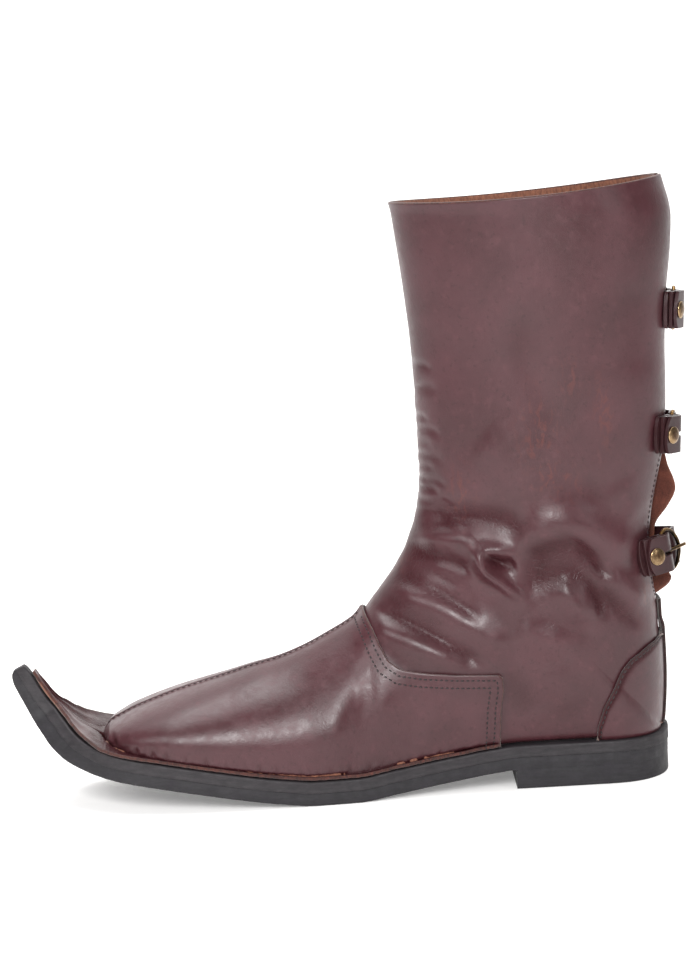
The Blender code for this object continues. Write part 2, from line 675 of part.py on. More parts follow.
def vamp_wall(places):
    # The wall of the vamp with its edge turned out over the sole on both sides
    shares = both_sides(WALL_STEPS)
    wall = sheet(places, shares)
    rows, columns = wall.shape[:2]
    along = np.gradient(wall, axis=0)
    across = np.gradient(wall, axis=1)
    normal = np.cross(along, across)
    normal /= np.linalg.norm(normal, axis=2)[..., None]
    wall = wall + normal * (GAP + FACET_CLEARANCE)
    x = wall[:, 0, 0]
    outer, inner = half_widths(x, FLANGE_INSET)
    grid = np.zeros((rows, columns + 2, 3))
    grid[:, 1:-1] = wall
    for side, column, edge in ((-1, 0, -outer), (1, -1, inner)):
        foot = grid[:, 1 if side < 0 else -2]
        foot[:, 2] = sole_top(foot[:, 0]) + GAP + FACET_CLEARANCE
        grid[:, column, 0] = foot[:, 0]
        grid[:, column, 1] = edge
        grid[:, column, 2] = foot[:, 2]
    return grid


def point_cover(first_row):
    # Rows of the leather that lies on the curled point, in front of the toe box
    lift_x = np.linspace(SOLE_X[0] + TOE_END_ROUND * 0.6, SOLE_X[0] + SOLE_LENGTH * 0.25, 500)
    z, normal_x, normal_z, thick = sole_line(lift_x)
    distance = thick + 2 * GAP + MIDSOLE_THICKNESS
    top_x = lift_x + normal_x * distance
    front = first_row[:, 0].min() - GAP
    last = np.interp(front, top_x, lift_x)
    run = np.concatenate([[0], np.cumsum(np.hypot(np.diff(top_x), np.diff(z + normal_z * distance)))])
    stops = np.interp(np.linspace(0, np.interp(last, lift_x, run), 9), run, lift_x)
    rows = []
    shares = first_row[:, 1] / np.where(first_row[:, 1] < 0, -first_row[0, 1], first_row[-1, 1])
    for x in stops:
        z, normal_x, normal_z, thick = sole_line(x)
        outer, inner = half_widths(x, FLANGE_INSET)
        distance = thick + 2 * GAP + MIDSOLE_THICKNESS
        y = np.where(shares < 0, shares * outer, shares * inner)
        row = np.stack([np.full(len(y), x + normal_x * distance), y,
                        np.full(len(y), z + normal_z * distance)], axis=1)
        rows.append(row)
    return np.array(rows)


def make_vamp():
    wall = vamp_wall(form_places(0, FAN_LAST - VAMP_END))
    grid = np.concatenate([point_cover(wall[0]), wall])
    vamp = thicken("vamp", [grid], 0.0, VAMP_THICKNESS, "brown_leather")
    outline = list(VAMP_EDGE) + [(0.2670, -0.2), (1.1, -0.2), (1.1, 1.3)]
    keep_inside(vamp, side_cutter("vamp_cutter", outline))


def make_counter():
    # Its facets are the upper's own, so it lies close to it
    places = form_places(TOE_LAST + COUNTER_START, FAN_LAST + COUNTER_END)
    near = both_sides(WALL_STEPS)[:COUNTER_COLUMNS]
    grids = [sheet(places, near), sheet(places, -near[::-1])]
    counter = thicken("counter", grids, GAP, COUNTER_THICKNESS, "brown_leather")
    outline = list(COUNTER_EDGE) + [(-0.2, 0.98), (-0.2, -0.1), (0.1180, -0.1)]
    keep_inside(counter, side_cutter("counter_cutter", outline))


def back_row(place, arcs):
    # Points of a section at arcs from the rear centre line, negative ones on the outer side
    girth = section_girth(place)
    side = np.where(arcs < 0, -1.0, 1.0)
    return section(place, side * (1 - np.abs(arcs) / girth) + 1e-9 * side)


def make_backstay():
    # A narrow strip over the back seam, wider at its top
    lift = 2 * GAP + COUNTER_THICKNESS + STRIP_CLEARANCE
    top = np.interp(SLIT_START, FORM[FAN_LAST:, 1], np.arange(FAN_LAST, SHAFT_LAST + 1))
    places = np.linspace(FAN_LAST + BACKSTAY_START, top, 7)
    flare = 1 + BACKSTAY_FLARE * np.linspace(0, 1, 7) ** 3
    arcs = np.linspace(-0.5, 0.5, 5) * BACKSTAY_WIDTH
    grid = np.array([back_row(place, arcs[::-1] * wide) for place, wide in zip(places, flare)])
    thicken("backstay", [grid], lift, BACKSTAY_THICKNESS, "dark_leather")


def make_gusset():
    # Suede behind the slit, tucked behind both quarters and swelling out between the straps
    heights = FORM[FAN_LAST:, 1]
    rows = np.arange(FAN_LAST, SHAFT_LAST + 1)
    first = np.interp(SLIT_START - GUSSET_TUCK, heights, rows)
    last = np.interp(SHAFT_HEIGHT - GUSSET_TUCK / 2, heights, rows)
    places = first + (last - first) * np.linspace(0, 1, GUSSET_STEPS) ** 1.4
    slit = np.array(SLIT_ROWS)
    bulge = np.array(BULGE_ROWS)
    across = np.linspace(1, -1, 11)
    grid, lift = [], []
    for place in places:
        rise = (np.interp(place, rows, heights) - SLIT_START) / (SHAFT_HEIGHT - SLIT_START)
        half = SLIT_WIDTH * float(smooth(slit[:, 0], slit[:, 1], rise)) if rise > 0 else 0.0
        reach = half + GUSSET_TUCK
        grid.append(back_row(place, across * reach))
        free = np.clip((half - GUSSET_MARGIN - np.abs(across) * reach) / (half * 0.7 + 1e-6), 0, 1)
        free = free * free * (3 - 2 * free)
        swell = GUSSET_BULGE * float(smooth(bulge[:, 0], bulge[:, 1], rise))
        room = np.clip((half - GUSSET_ROOM) / (SLIT_WIDTH / 2 - GUSSET_ROOM), 0, 1)
        rest = UPPER_WALL + GAP + GUSSET_CLEARANCE
        lift.append(-(rest + GUSSET_THICKNESS) + free * room * (rest + swell))
    grid = np.array(grid)
    normal = np.cross(np.gradient(grid, axis=0), np.gradient(grid, axis=1))
    normal /= np.linalg.norm(normal, axis=2)[..., None]
    grid = grid + normal * np.array(lift)[..., None]
    thicken("gusset", [grid], 0.0, GUSSET_THICKNESS, "rust_suede")


# Closures: each lies in a plane across the shaft, and its pieces are spread along that plane's normal

class Closure:
    # The plane of one strap, and the line that clears the boot over the strap's whole width

    def __init__(self, rise, slope):
        height = SLIT_START + rise * (SHAFT_HEIGHT - SLIT_START)
        back_z, back_x = FORM[FAN_LAST:, 1], FORM[FAN_LAST:, 0]
        back_z = back_z.copy()
        back_z[0] = SEAT_HEIGHT
        at = height + np.array([-0.5, 0.0, 0.5]) * STRAP_WIDTH
        line = np.interp(at, back_z, back_x)
        up = np.array([(line[2] - line[0]) / STRAP_WIDTH - slope, 0.0, 1.0])
        self.up = up / np.linalg.norm(up)
        self.side = np.array([0.0, 1.0, 0.0])
        self.rear = np.cross(self.side, self.up)
        self.origin = np.array([line[1], 0.0, height])
        self.edge = self.clear_line()

    def clear_line(self):
        reach = STRAP_GIRTH + STRAP_WIDTH
        arcs = np.linspace(-reach, reach, 61)
        grid = np.array([back_row(place, arcs) for place in np.linspace(FAN_LAST, SHAFT_LAST, 60)])
        offset = grid - self.origin
        level, p, q = offset @ self.up, offset @ self.side, offset @ self.rear
        middle = ANKLE_WIDTH / 2
        turn = np.linspace(-1.75, 1.75, 141)
        radius = np.zeros(len(turn))
        for share in np.linspace(-0.55, 0.55, 7):
            here = []
            for column in range(len(arcs)):
                at = share * STRAP_WIDTH
                here.append((np.interp(at, level[:, column], p[:, column]),
                             np.interp(at, level[:, column], q[:, column])))
            here = np.array(here)
            angle = np.arctan2(here[:, 0], here[:, 1] + middle)
            order = np.argsort(angle)
            radius = np.maximum(radius, np.interp(turn, angle[order], np.hypot(here[:, 0],
                                                                               here[:, 1] + middle)[order]))
        return np.stack([radius * np.sin(turn), radius * np.cos(turn) - middle], axis=1)

    def along(self, arc, lift):
        # Points at arcs from the rear centre line, lifted off the clear line
        step = np.linalg.norm(np.diff(self.edge, axis=0), axis=1)
        run = np.concatenate([[0], np.cumsum(step)])
        run -= np.interp(0, self.edge[:, 0], run)
        tangent = np.gradient(self.edge, axis=0)
        tangent /= np.linalg.norm(tangent, axis=1)[:, None]
        point = np.stack([np.interp(arc, run, self.edge[:, k]) for k in (0, 1)], axis=-1)
        way = np.stack([np.interp(arc, run, tangent[:, k]) for k in (0, 1)], axis=-1)
        out = np.stack([-way[..., 1], way[..., 0]], axis=-1)
        return point + out * np.asarray(lift)[..., None], way, out

    def place(self, flat, across):
        # From the plane's two coordinates and the distance across the strap to the boot's own
        flat = np.asarray(flat)
        return (self.origin + flat[..., :1] * self.side + flat[..., 1:2] * self.rear
                + np.asarray(across)[..., None] * self.up)


def ribbon(name, closure, path, trims, material):
    # A strap along a path in the closure's plane; trims gives each width line's cut at the path's start
    path = np.asarray(path)
    tangent = np.gradient(path, axis=0)
    tangent /= np.linalg.norm(tangent, axis=1)[:, None]
    out = np.stack([-tangent[:, 1], tangent[:, 0]], axis=1)
    step = np.linalg.norm(path[1] - path[0])
    rings = []
    for share, trim in trims:
        shifted = path.copy()
        shifted[0] = path[0] + tangent[0] * min(trim, 0.9 * step)
        top = closure.place(shifted + out * STRAP_THICKNESS / 2, np.full(len(path), share * STRAP_WIDTH / 2))
        low = closure.place(shifted - out * STRAP_THICKNESS / 2, np.full(len(path), share * STRAP_WIDTH / 2))
        rings.append(list(top) + list(low[::-1]))
    points, faces = bridge_strips(rings)
    return make_object(name, points, faces, material)


def bridge_strips(rings):
    # Faces between long thin rings; the two end rings are closed by strips of quads
    count = len(rings[0])
    points, faces = bridge_rings(rings)
    faces = faces[1:-1]
    last = (len(rings) - 1) * count
    for k in range(count // 2 - 1):
        strip = (k, k + 1, count - 2 - k, count - 1 - k)
        faces.append(strip[::-1])
        faces.append(tuple(last + corner for corner in strip))
    return points, faces


def plate(name, closure, outline, hole, half, material):
    # A flat piece with one hole, in the closure's plane
    shape = bmesh.new()
    for loop in (outline, hole):
        verts = [shape.verts.new(closure.place(np.array(point), np.array(-half))) for point in loop]
        for k, vert in enumerate(verts):
            shape.edges.new((vert, verts[(k + 1) % len(verts)]))
    bmesh.ops.triangle_fill(shape, use_beauty=True, edges=shape.edges[:])
    grown = bmesh.ops.extrude_face_region(shape, geom=shape.faces[:])
    moved = [item for item in grown["geom"] if isinstance(item, bmesh.types.BMVert)]
    bmesh.ops.translate(shape, verts=moved, vec=closure.up * 2 * half)
    bmesh.ops.recalc_face_normals(shape, faces=shape.faces)
    mesh = bpy.data.meshes.new(name)
    shape.to_mesh(mesh)
    shape.free()
    item = bpy.data.objects.new(name, mesh)
    bpy.context.collection.objects.link(item)
    mesh.materials.append(finish(material))
    return item


def rivet(name, closure, flat, out, radius, material):
    # A domed head that stands on a strap
    way = np.array([out[1], -out[0]])
    rings = []
    for share, height in ((1.0, 0.0), (1.0, 0.35), (0.72, 0.8), (0.3, 1.0)):
        ring = []
        for turn in np.arange(10) * np.pi / 5:
            reach = radius * share
            spot = np.asarray(flat) + out * (GAP + RIVET_HEIGHT * height) + way * reach * np.cos(turn)
            ring.append(closure.place(spot, np.array(reach * np.sin(turn))))
        rings.append(ring)
    points, faces = bridge_rings(rings)
    return make_object(name, points, faces, material)


def make_closure(number, rise, chape_end, proud, slope, lean):
    closure = Closure(rise, slope)
    half = STRAP_THICKNESS / 2
    free_arc = -chape_end * STRAP_WIDTH
    bar_arc = free_arc + CHAPE_LENGTH
    stand = 2 * GAP + STRAP_THICKNESS + FRAME_RADIUS + proud * STRAP_THICKNESS
    bar, way, out = closure.along(bar_arc, stand)
    ahead = way * np.cos(lean) + out * np.sin(lean)
    above = out * np.cos(lean) - way * np.sin(lean)

    def spot(u, v):
        return bar + ahead * u + above * v

    # Chape: under the bar, round it and straight back to its own free end
    loop_radius = FRAME_RADIUS + GAP + half
    shares = np.array([0.0, 0.3, 0.55, 0.8])
    raised = half + GAP + proud * STRAP_THICKNESS * shares ** 1.6
    lower = closure.along(free_arc + CHAPE_LENGTH * shares, raised)[0]
    fold_end = closure.along(free_arc + CHAPE_STEP, 3 * half + 2 * GAP)[0]
    from_bar = fold_end - bar
    reach = np.hypot(from_bar @ ahead, from_bar @ above)
    touch = np.arctan2(from_bar @ above, from_bar @ ahead) % (2 * np.pi) - np.arccos(loop_radius / reach)
    turns = np.linspace(-np.pi / 2, touch, 8)
    loop = [spot(loop_radius * np.cos(turn), loop_radius * np.sin(turn)) for turn in turns]
    rounded = [(share, CHAPE_STEP * (1 - np.sqrt(1 - share ** 2 * 0.96))) for share in (-1, -0.8, 0, 0.8, 1)]
    middle = (loop[-1] + fold_end) / 2
    chape = ribbon(f"chape_{number}", closure, np.concatenate([lower, loop, [middle, fold_end]]), rounded,
                   "dark_leather")

    # Billet: its tip on the chape, over the bar, down through the frame and round to the inner side
    over = loop_radius + STRAP_THICKNESS + 2 * GAP
    off_chape = np.cos(touch) * ahead + np.sin(touch) * above
    tip = fold_end + off_chape * (over - loop_radius)
    back_way = (loop[-1] - fold_end) / np.linalg.norm(loop[-1] - fold_end)
    crest = [spot(over * np.cos(turn), over * np.sin(turn)) for turn in np.linspace(touch, np.radians(66), 4)]
    under = -(FRAME_RADIUS + GAP + half)
    through = [spot(share * FRAME_LENGTH, over * high + under * low) for share, high, low in DROP_ROWS]
    land_arc = bar_arc + FRAME_LENGTH + LANDING * STRAP_WIDTH
    land, land_way, _ = closure.along(land_arc, half + GAP)
    leave = through[-1]
    pull = np.linalg.norm(land - leave)
    steps = np.linspace(0, 1, 5)[1:-1, None]
    span = ((1 + 2 * steps) * (1 - steps) ** 2 * leave + steps * (1 - steps) ** 2 * pull * ahead
            + steps ** 2 * (3 - 2 * steps) * land + steps ** 2 * (steps - 1) * pull * land_way)
    rest = closure.along(np.linspace(land_arc, STRAP_GIRTH, 5), half + GAP)[0]
    clipped = [(-1, TIP_CLIP * 0.65), (-0.5, 0.0), (0.3, 0.0), (1, TIP_CLIP)]
    billet = ribbon(f"billet_{number}", closure, np.concatenate([[tip], crest, through, span, rest]), clipped,
                    "dark_leather")

    # Frame: a bar, two sides and a pointed front, swept by a round rod
    rod = FRAME_HEIGHT / 2 - FRAME_RADIUS
    make_frame(f"buckle_{number}", closure, spot, [(u * FRAME_LENGTH, w * rod) for u, w in FRAME_ROWS])

    # Prong: an eye round the bar and an arm that rests on the frame's point
    eye = FRAME_RADIUS + GAP
    rim = eye + PRONG_RADIUS * 1.3
    start = np.arcsin(min(0.9, PRONG_RADIUS / rim))
    turns = np.linspace(start + 0.55, 2 * np.pi - 0.1, 13)
    ring = [(rim * np.cos(turn), rim * np.sin(turn)) for turn in turns]
    rest_height = FRAME_RADIUS + GAP
    tip_u = FRAME_LENGTH + PRONG_REACH
    arm = [(FRAME_LENGTH, rest_height), (tip_u, rest_height * 0.9), (tip_u, rest_height + PRONG_RADIUS * 1.6),
           (FRAME_LENGTH, rest_height + PRONG_RADIUS * 2)]
    outline = [spot(u, v) for u, v in ring + arm]
    hole = [spot(eye * np.cos(turn), eye * np.sin(turn)) for turn in np.linspace(0, 2 * np.pi, 11)[:-1]]
    plate(f"prong_{number}", closure, outline, hole, PRONG_RADIUS, "old_brass")

    # Slot for the prong through both straps
    far_end = SLOT_REACH * FRAME_LENGTH
    slot = [(-rim - GAP, -rim * 1.5), (-rim - GAP, over + SLOT_HEIGHT), (far_end, over + SLOT_HEIGHT),
            (far_end, under * 1.6)]
    rings = [[closure.place(spot(u, v), np.array(side * (PRONG_RADIUS + GAP))) for u, v in slot]
             for side in (-1, 1)]
    points, faces = bridge_rings(rings)
    cutter = make_object(f"slot_cutter_{number}", points, faces, "dark_leather")
    cutter.hide_render = True
    cutter.display_type = "WIRE"
    keep_inside(chape, cutter, "DIFFERENCE")
    keep_inside(billet, cutter, "DIFFERENCE")

    seat = tip + back_way * RIVET_RADIUS * 1.07 + off_chape * half
    rivet(f"rivet_{number}", closure, seat, off_chape, RIVET_RADIUS, "old_brass")
    flat, _, out_far = closure.along(STRAP_GIRTH - FAR_RIVET_RADIUS * 1.6, 2 * half + GAP)
    rivet(f"far_rivet_{number}", closure, flat, out_far, FAR_RIVET_RADIUS, "old_brass")


def make_frame(name, closure, spot, loop):
    # A round rod along a closed path in the frame's own plane
    path = np.array([closure.place(spot(u, 0.0), np.array(w)) for u, w in loop])
    before = path - np.roll(path, 1, axis=0)
    after = np.roll(path, -1, axis=0) - path
    before /= np.linalg.norm(before, axis=1)[:, None]
    after /= np.linalg.norm(after, axis=1)[:, None]
    facing = closure.place(spot(0.0, 1.0), np.array(0.0)) - closure.place(spot(0.0, 0.0), np.array(0.0))
    rings = []
    for k in range(len(path)):
        mean = before[k] + after[k]
        mean /= np.linalg.norm(mean)
        across = np.cross(mean, facing)
        stretch = 1 / max(0.5, float(np.dot(mean, after[k])))
        rings.append([path[k] + FRAME_RADIUS * (np.cos(turn) * facing + np.sin(turn) * stretch * across)
                      for turn in np.arange(8) * np.pi / 4])
    points = [point for ring in rings for point in ring]
    faces = []
    for ring in range(len(rings)):
        for k in range(8):
            after_k = (k + 1) % 8
            start, end = ring * 8, (ring + 1) % len(rings) * 8
            faces.append((start + k, start + after_k, end + after_k, end + k))
    return make_object(name, points, faces, "old_brass")


make_sole()
make_heel()
make_insole()
make_upper()
make_vamp()
make_counter()
make_backstay()
make_gusset()
for order, closure_row in enumerate(CLOSURE_ROWS):
    make_closure(order + 1, *closure_row)
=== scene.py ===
import bmesh
import bpy
import numpy as np
from mathutils import Matrix, Vector
from mathutils.bvhtree import BVHTree


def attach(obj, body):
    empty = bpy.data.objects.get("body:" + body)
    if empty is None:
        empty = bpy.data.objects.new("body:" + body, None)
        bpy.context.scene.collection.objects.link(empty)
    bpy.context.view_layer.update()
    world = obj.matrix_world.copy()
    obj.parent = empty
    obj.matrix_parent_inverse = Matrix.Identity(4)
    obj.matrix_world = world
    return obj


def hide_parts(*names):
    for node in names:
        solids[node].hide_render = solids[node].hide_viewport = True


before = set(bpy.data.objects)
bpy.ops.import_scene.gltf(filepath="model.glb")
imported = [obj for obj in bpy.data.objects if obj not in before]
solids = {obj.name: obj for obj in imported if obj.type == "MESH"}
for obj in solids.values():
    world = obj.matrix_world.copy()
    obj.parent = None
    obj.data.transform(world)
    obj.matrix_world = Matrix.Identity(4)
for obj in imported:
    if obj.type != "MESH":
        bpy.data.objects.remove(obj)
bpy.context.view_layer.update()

mm = 0.001


# sizes of the boot, the same driving dimensions as the solids have, in metres

last = {
    "length": 0.3320,          # heel's rear to the outer end of the curled toe
    "ballWidth": 0.1010,
    "heelWidth": 0.0655,
    "heelLength": 0.0795,
    "heelRound": 0.0318,
    "seatHeight": 0.0220,
    "toeRise": 0.0656,
    "toeEndRound": 0.0038,
    "midsole": 0.0057,
    "outsole": 0.0063,
    "gap": 0.0003,
    "clearance": 0.0004,
    "ledge": 0.0055,           # sole edge to the upper's outer face
    "instepReach": 0.1512,
    "instepRise": 0.0756,
    "ankleLength": 0.1196,
    "ankleWidth": 0.0780,
    "collarWidth": 0.0930,
    "collarFlare": 0.0082,
    "backReach": 0.0112,
    "shaftHeight": 0.2980,
    "collarDip": 0.0030,
    "wall": 0.0019,
    "vamp": 0.0016,
    "flangeInset": 0.0008,
    "counter": 0.0012,
    "backstay": 0.0014,
    "backstayWidth": 0.0120,
    "slitStart": 0.0835,
    "slitWidth": 0.0290,
    "gusset": 0.0014,
    "gussetBulge": 0.0072,
    "gussetTuck": 0.0070,
}

# sole before the waist: along, rise, outer, inner, thick
foreRows = np.array([
    (1.000, 1.000, 0.030, 0.030, 0.75), (0.979, 0.782, 0.044, 0.044, 0.83), (0.962, 0.625, 0.080, 0.080, 1.10),
    (0.950, 0.550, 0.130, 0.130, 1.16), (0.938, 0.480, 0.180, 0.182, 1.20), (0.914, 0.382, 0.248, 0.254, 1.18),
    (0.890, 0.327, 0.300, 0.310, 1.10), (0.865, 0.286, 0.350, 0.363, 1.02), (0.829, 0.243, 0.399, 0.422, 0.98),
    (0.768, 0.187, 0.436, 0.482, 1.00), (0.712, 0.136, 0.453, 0.522, 1.00), (0.653, 0.080, 0.458, 0.542, 1.00),
    (0.594, 0.031, 0.455, 0.540, 1.00), (0.536, 0.000, 0.448, 0.518, 1.00), (0.478, 0.000, 0.434, 0.464, 1.00)])
# behind the ball: along, rise, outer, inner
backRows = np.array([
    (0.416, 0.250, 0.618, 0.600), (0.341, 0.577, 0.557, 0.489), (0.266, 0.897, 0.524, 0.452),
    (0.240, 0.985, 0.521, 0.452), (0.210, 1.000, 0.521, 0.460), (0.120, 1.000, 0.519, 0.481),
    (0.000, 1.000, 0.505, 0.478)])
# toe and instep sections: place, above, foot, swell, widest, crown, under
toeRows = np.array([
    (0.8530, 0.012, 0.12, 0.00, 0.30, 2.4, 2.6), (0.8495, 0.062, 0.36, 0.01, 0.36, 2.3, 2.6),
    (0.8435, 0.102, 0.56, 0.02, 0.38, 2.2, 2.6), (0.8300, 0.147, 0.77, 0.03, 0.38, 2.2, 2.6),
    (0.8120, 0.202, 0.89, 0.04, 0.36, 2.1, 2.6), (0.7750, 0.290, 0.97, 0.05, 0.34, 2.0, 2.6),
    (0.7380, 0.372, 1.00, 0.05, 0.32, 1.95, 2.6), (0.7010, 0.446, 1.00, 0.05, 0.30, 1.90, 2.6),
    (0.6640, 0.520, 1.00, 0.05, 0.28, 1.86, 2.6), (0.6270, 0.596, 1.00, 0.05, 0.27, 1.83, 2.6),
    (0.5890, 0.664, 1.00, 0.05, 0.26, 1.80, 2.6), (0.5510, 0.744, 1.00, 0.05, 0.26, 1.80, 2.6),
    (0.5120, 0.828, 1.00, 0.05, 0.27, 1.82, 2.6)])
# waist and heel sections: place, forward, above, outer, inner, widest, crown, under
fanRows = np.array([
    (0.4700, -0.085, -0.020, 0.490, 0.505, 0.28, 1.85, 2.5),
    (0.4280, 0.070, 0.010, 0.468, 0.470, 0.30, 1.90, 2.4),
    (0.3550, 0.230, 0.042, 0.450, 0.445, 0.33, 1.95, 2.3),
    (0.2650, 0.551, 0.105, 0.445, 0.435, 0.36, 2.00, 2.2),
    (0.1750, 0.810, 0.182, 0.450, 0.440, 0.38, 2.00, 2.1),
    (0.1050, 0.935, 0.243, 0.462, 0.452, 0.40, 2.00, 2.1),
    (0.0600, 0.975, 0.282, 0.472, 0.462, 0.41, 2.00, 2.1),
    (0.0300, 0.992, 0.308, 0.478, 0.470, 0.42, 2.00, 2.1),
    (0.0000, 1.000, 0.330, 0.482, 0.474, 0.42, 2.00, 2.1)])
# shaft sections: reach, rise, flare, above, outer, inner, widest, crown, under
shaftRows = np.array([
    (-0.310, 0.045, 0.00, 0.352, 0.408, 0.402, 0.42, 2.00, 2.10),
    (-0.240, 0.115, -0.01, 0.395, 0.414, 0.408, 0.42, 2.00, 2.15),
    (-0.290, 0.223, 0.00, 0.455, 0.418, 0.414, 0.43, 2.00, 2.15),
    (-0.350, 0.283, 0.01, 0.495, 0.418, 0.416, 0.44, 2.00, 2.15),
    (-0.370, 0.339, 0.03, 0.535, 0.418, 0.418, 0.45, 2.00, 2.10),
    (-0.160, 0.412, 0.06, 0.590, 0.422, 0.422, 0.46, 2.00, 2.10),
    (0.110, 0.467, 0.10, 0.630, 0.428, 0.428, 0.46, 2.00, 2.10),
    (0.330, 0.521, 0.17, 0.675, 0.436, 0.436, 0.46, 2.00, 2.10),
    (0.450, 0.594, 0.28, 0.724, 0.448, 0.448, 0.46, 2.00, 2.15),
    (0.490, 0.685, 0.42, 0.785, 0.462, 0.462, 0.46, 2.00, 2.20),
    (0.630, 0.790, 0.60, 0.850, 0.478, 0.478, 0.46, 2.00, 2.25),
    (0.870, 0.870, 0.76, 0.905, 0.488, 0.488, 0.46, 2.00, 2.25),
    (0.960, 0.930, 0.88, 0.945, 0.494, 0.494, 0.46, 2.00, 2.20),
    (0.600, 1.000, 1.00, 0.966, 0.500, 0.500, 0.46, 2.00, 2.10)])
slitRows = np.array([
    (0.00, 0.04), (0.02, 0.28), (0.05, 0.45), (0.10, 0.52), (0.18, 0.52), (0.30, 0.46), (0.40, 0.34),
    (0.52, 0.24), (0.75, 0.20), (1.00, 0.18)])
bulgeRows = np.array([
    (0.000, 0.30), (0.020, 1.05), (0.050, 1.30), (0.085, 0.80), (0.13, 0.05), (0.19, 0.20), (0.27, 1.25),
    (0.34, 0.60), (0.40, 0.00), (1.00, 0.00)])
# side outlines of the overlays: along, up
vampEdge = np.array([
    (0.4660, 1.300), (0.4600, 1.215), (0.4520, 1.170), (0.4420, 1.080), (0.4330, 0.980), (0.4230, 0.892),
    (0.4045, 0.836), (0.3720, 0.810), (0.3230, 0.790), (0.2560, 0.776), (0.2550, 0.670), (0.2600, 0.550),
    (0.2670, 0.160)])
counterEdge = np.array([
    (0.1180, 0.160), (0.1150, 0.386), (0.1050, 0.521), (0.0900, 0.635), (0.0770, 0.750), (0.0630, 0.815),
    (0.0340, 0.885), (0.0000, 0.930), (-0.0400, 0.960)])

heelRear = last["heelLength"] / 2
soleStack = last["outsole"] + last["gap"] + last["midsole"]
heelRise = last["seatHeight"] - soleStack


def smooth(keys, values, at):
    # monotone cubic through a table's column
    keys = np.asarray(keys, float)
    values = np.asarray(values, float)
    at = np.clip(at, keys[0], keys[-1])
    step = np.diff(keys)
    slope = np.diff(values) / step
    tangent = np.zeros_like(values)
    same = slope[:-1] * slope[1:] > 0
    near, far = 2 * step[1:] + step[:-1], step[1:] + 2 * step[:-1]
    before, after = np.where(same, slope[:-1], 1.0), np.where(same, slope[1:], 1.0)
    tangent[1:-1] = np.where(same, (near + far) / (near / before + far / after), 0.0)
    tangent[0], tangent[-1] = slope[0], slope[-1]
    row = np.clip(np.searchsorted(keys, at, side="right") - 1, 0, len(step) - 1)
    u = (at - keys[row]) / step[row]
    return ((1 + 2 * u) * (1 - u) ** 2 * values[row] + u * (1 - u) ** 2 * step[row] * tangent[row]
            + u ** 2 * (3 - 2 * u) * values[row + 1] + u ** 2 * (u - 1) * step[row] * tangent[row + 1])


def ramp(value, low, high):
    # smooth step from 0 at low to 1 at high
    t = np.clip((value - low) / (high - low), 0, 1)
    return t * t * (3 - 2 * t)


soleX = heelRear - last["length"] * np.concatenate([foreRows[:, 0], backRows[:, 0]])
soleZ = np.concatenate([last["toeRise"] * foreRows[:, 1], heelRise * backRows[:, 1]])
soleOuter = np.concatenate([last["ballWidth"] * foreRows[:, 2], last["heelWidth"] * backRows[:, 2]])
soleInner = np.concatenate([last["ballWidth"] * foreRows[:, 3], last["heelWidth"] * backRows[:, 3]])
soleThick = last["outsole"] * np.concatenate([foreRows[:, 4], np.ones(len(backRows))])


def halfWidths(x, inset=0.0):
    # half widths of the sole's outline at x, drawn in by an inset
    past = np.clip((x - heelRear + last["heelRound"]) / (last["heelRound"] - inset), 0, 1)
    scale = (1 - past ** 2.3) ** (1 / 2.2)
    return (smooth(soleX, soleOuter, x) - inset) * scale, (smooth(soleX, soleInner, x) - inset) * scale


def soleLine(x):
    # height, unit normal and outsole thickness along the sole's bottom line
    high, low = np.minimum(x + 1e-4, heelRear), np.maximum(x - 1e-4, soleX[0])
    slope = (smooth(soleX, soleZ, high) - smooth(soleX, soleZ, low)) / (high - low)
    size = np.sqrt(1 + slope ** 2)
    return smooth(soleX, soleZ, x), -slope / size, 1 / size, smooth(soleX, soleThick, x)


def soleTop(x):
    # height of the midsole's top
    along = np.linspace(soleX[0], heelRear, 900)
    z, nx, nz, thick = soleLine(along)
    lift = thick + last["gap"] + last["midsole"]
    return np.interp(x, along + nx * lift, z + nz * lift)


# every section of the upper: base x, base z, ridge x, ridge z, outer, inner, widest, crown, under, foot
instepX, ankleX = heelRear - last["instepReach"], heelRear - last["ankleLength"]
instepZ = float(soleTop(instepX)) + last["instepRise"]
shaftRise = last["shaftHeight"] - instepZ
air = last["gap"] + last["clearance"]
toeX = heelRear - last["length"] * toeRows[:, 0]
toeOuter, toeInner = halfWidths(toeX, last["ledge"])
fanX = heelRear - last["ledge"] - (last["length"] - last["ledge"]) * fanRows[:, 0]
form = np.concatenate([
    np.stack([toeX, soleTop(toeX) + air, toeX, soleTop(toeX) + last["instepRise"] * toeRows[:, 1],
              toeOuter * toeRows[:, 2] * (1 + toeRows[:, 3]), toeInner * toeRows[:, 2] * (1 + toeRows[:, 3]),
              toeRows[:, 4], toeRows[:, 5], toeRows[:, 6], toeRows[:, 2]], 1),
    np.stack([fanX, soleTop(fanX) + air, instepX + (ankleX - instepX) * fanRows[:, 1],
              instepZ + shaftRise * fanRows[:, 2], last["ankleWidth"] * fanRows[:, 3],
              last["ankleWidth"] * fanRows[:, 4], fanRows[:, 5], fanRows[:, 6], fanRows[:, 7],
              np.ones(len(fanRows))], 1),
    np.stack([heelRear + last["backReach"] * shaftRows[:, 0],
              last["seatHeight"] + (last["shaftHeight"] - last["seatHeight"]) * shaftRows[:, 1],
              ankleX - last["collarFlare"] * shaftRows[:, 2], instepZ + shaftRise * shaftRows[:, 3],
              last["collarWidth"] * shaftRows[:, 4], last["collarWidth"] * shaftRows[:, 5], shaftRows[:, 6],
              shaftRows[:, 7], shaftRows[:, 8], np.ones(len(shaftRows))], 1)])
toeLast = len(toeRows) - 1
fanLast = toeLast + len(fanRows)
shaftLast = len(form) - 1


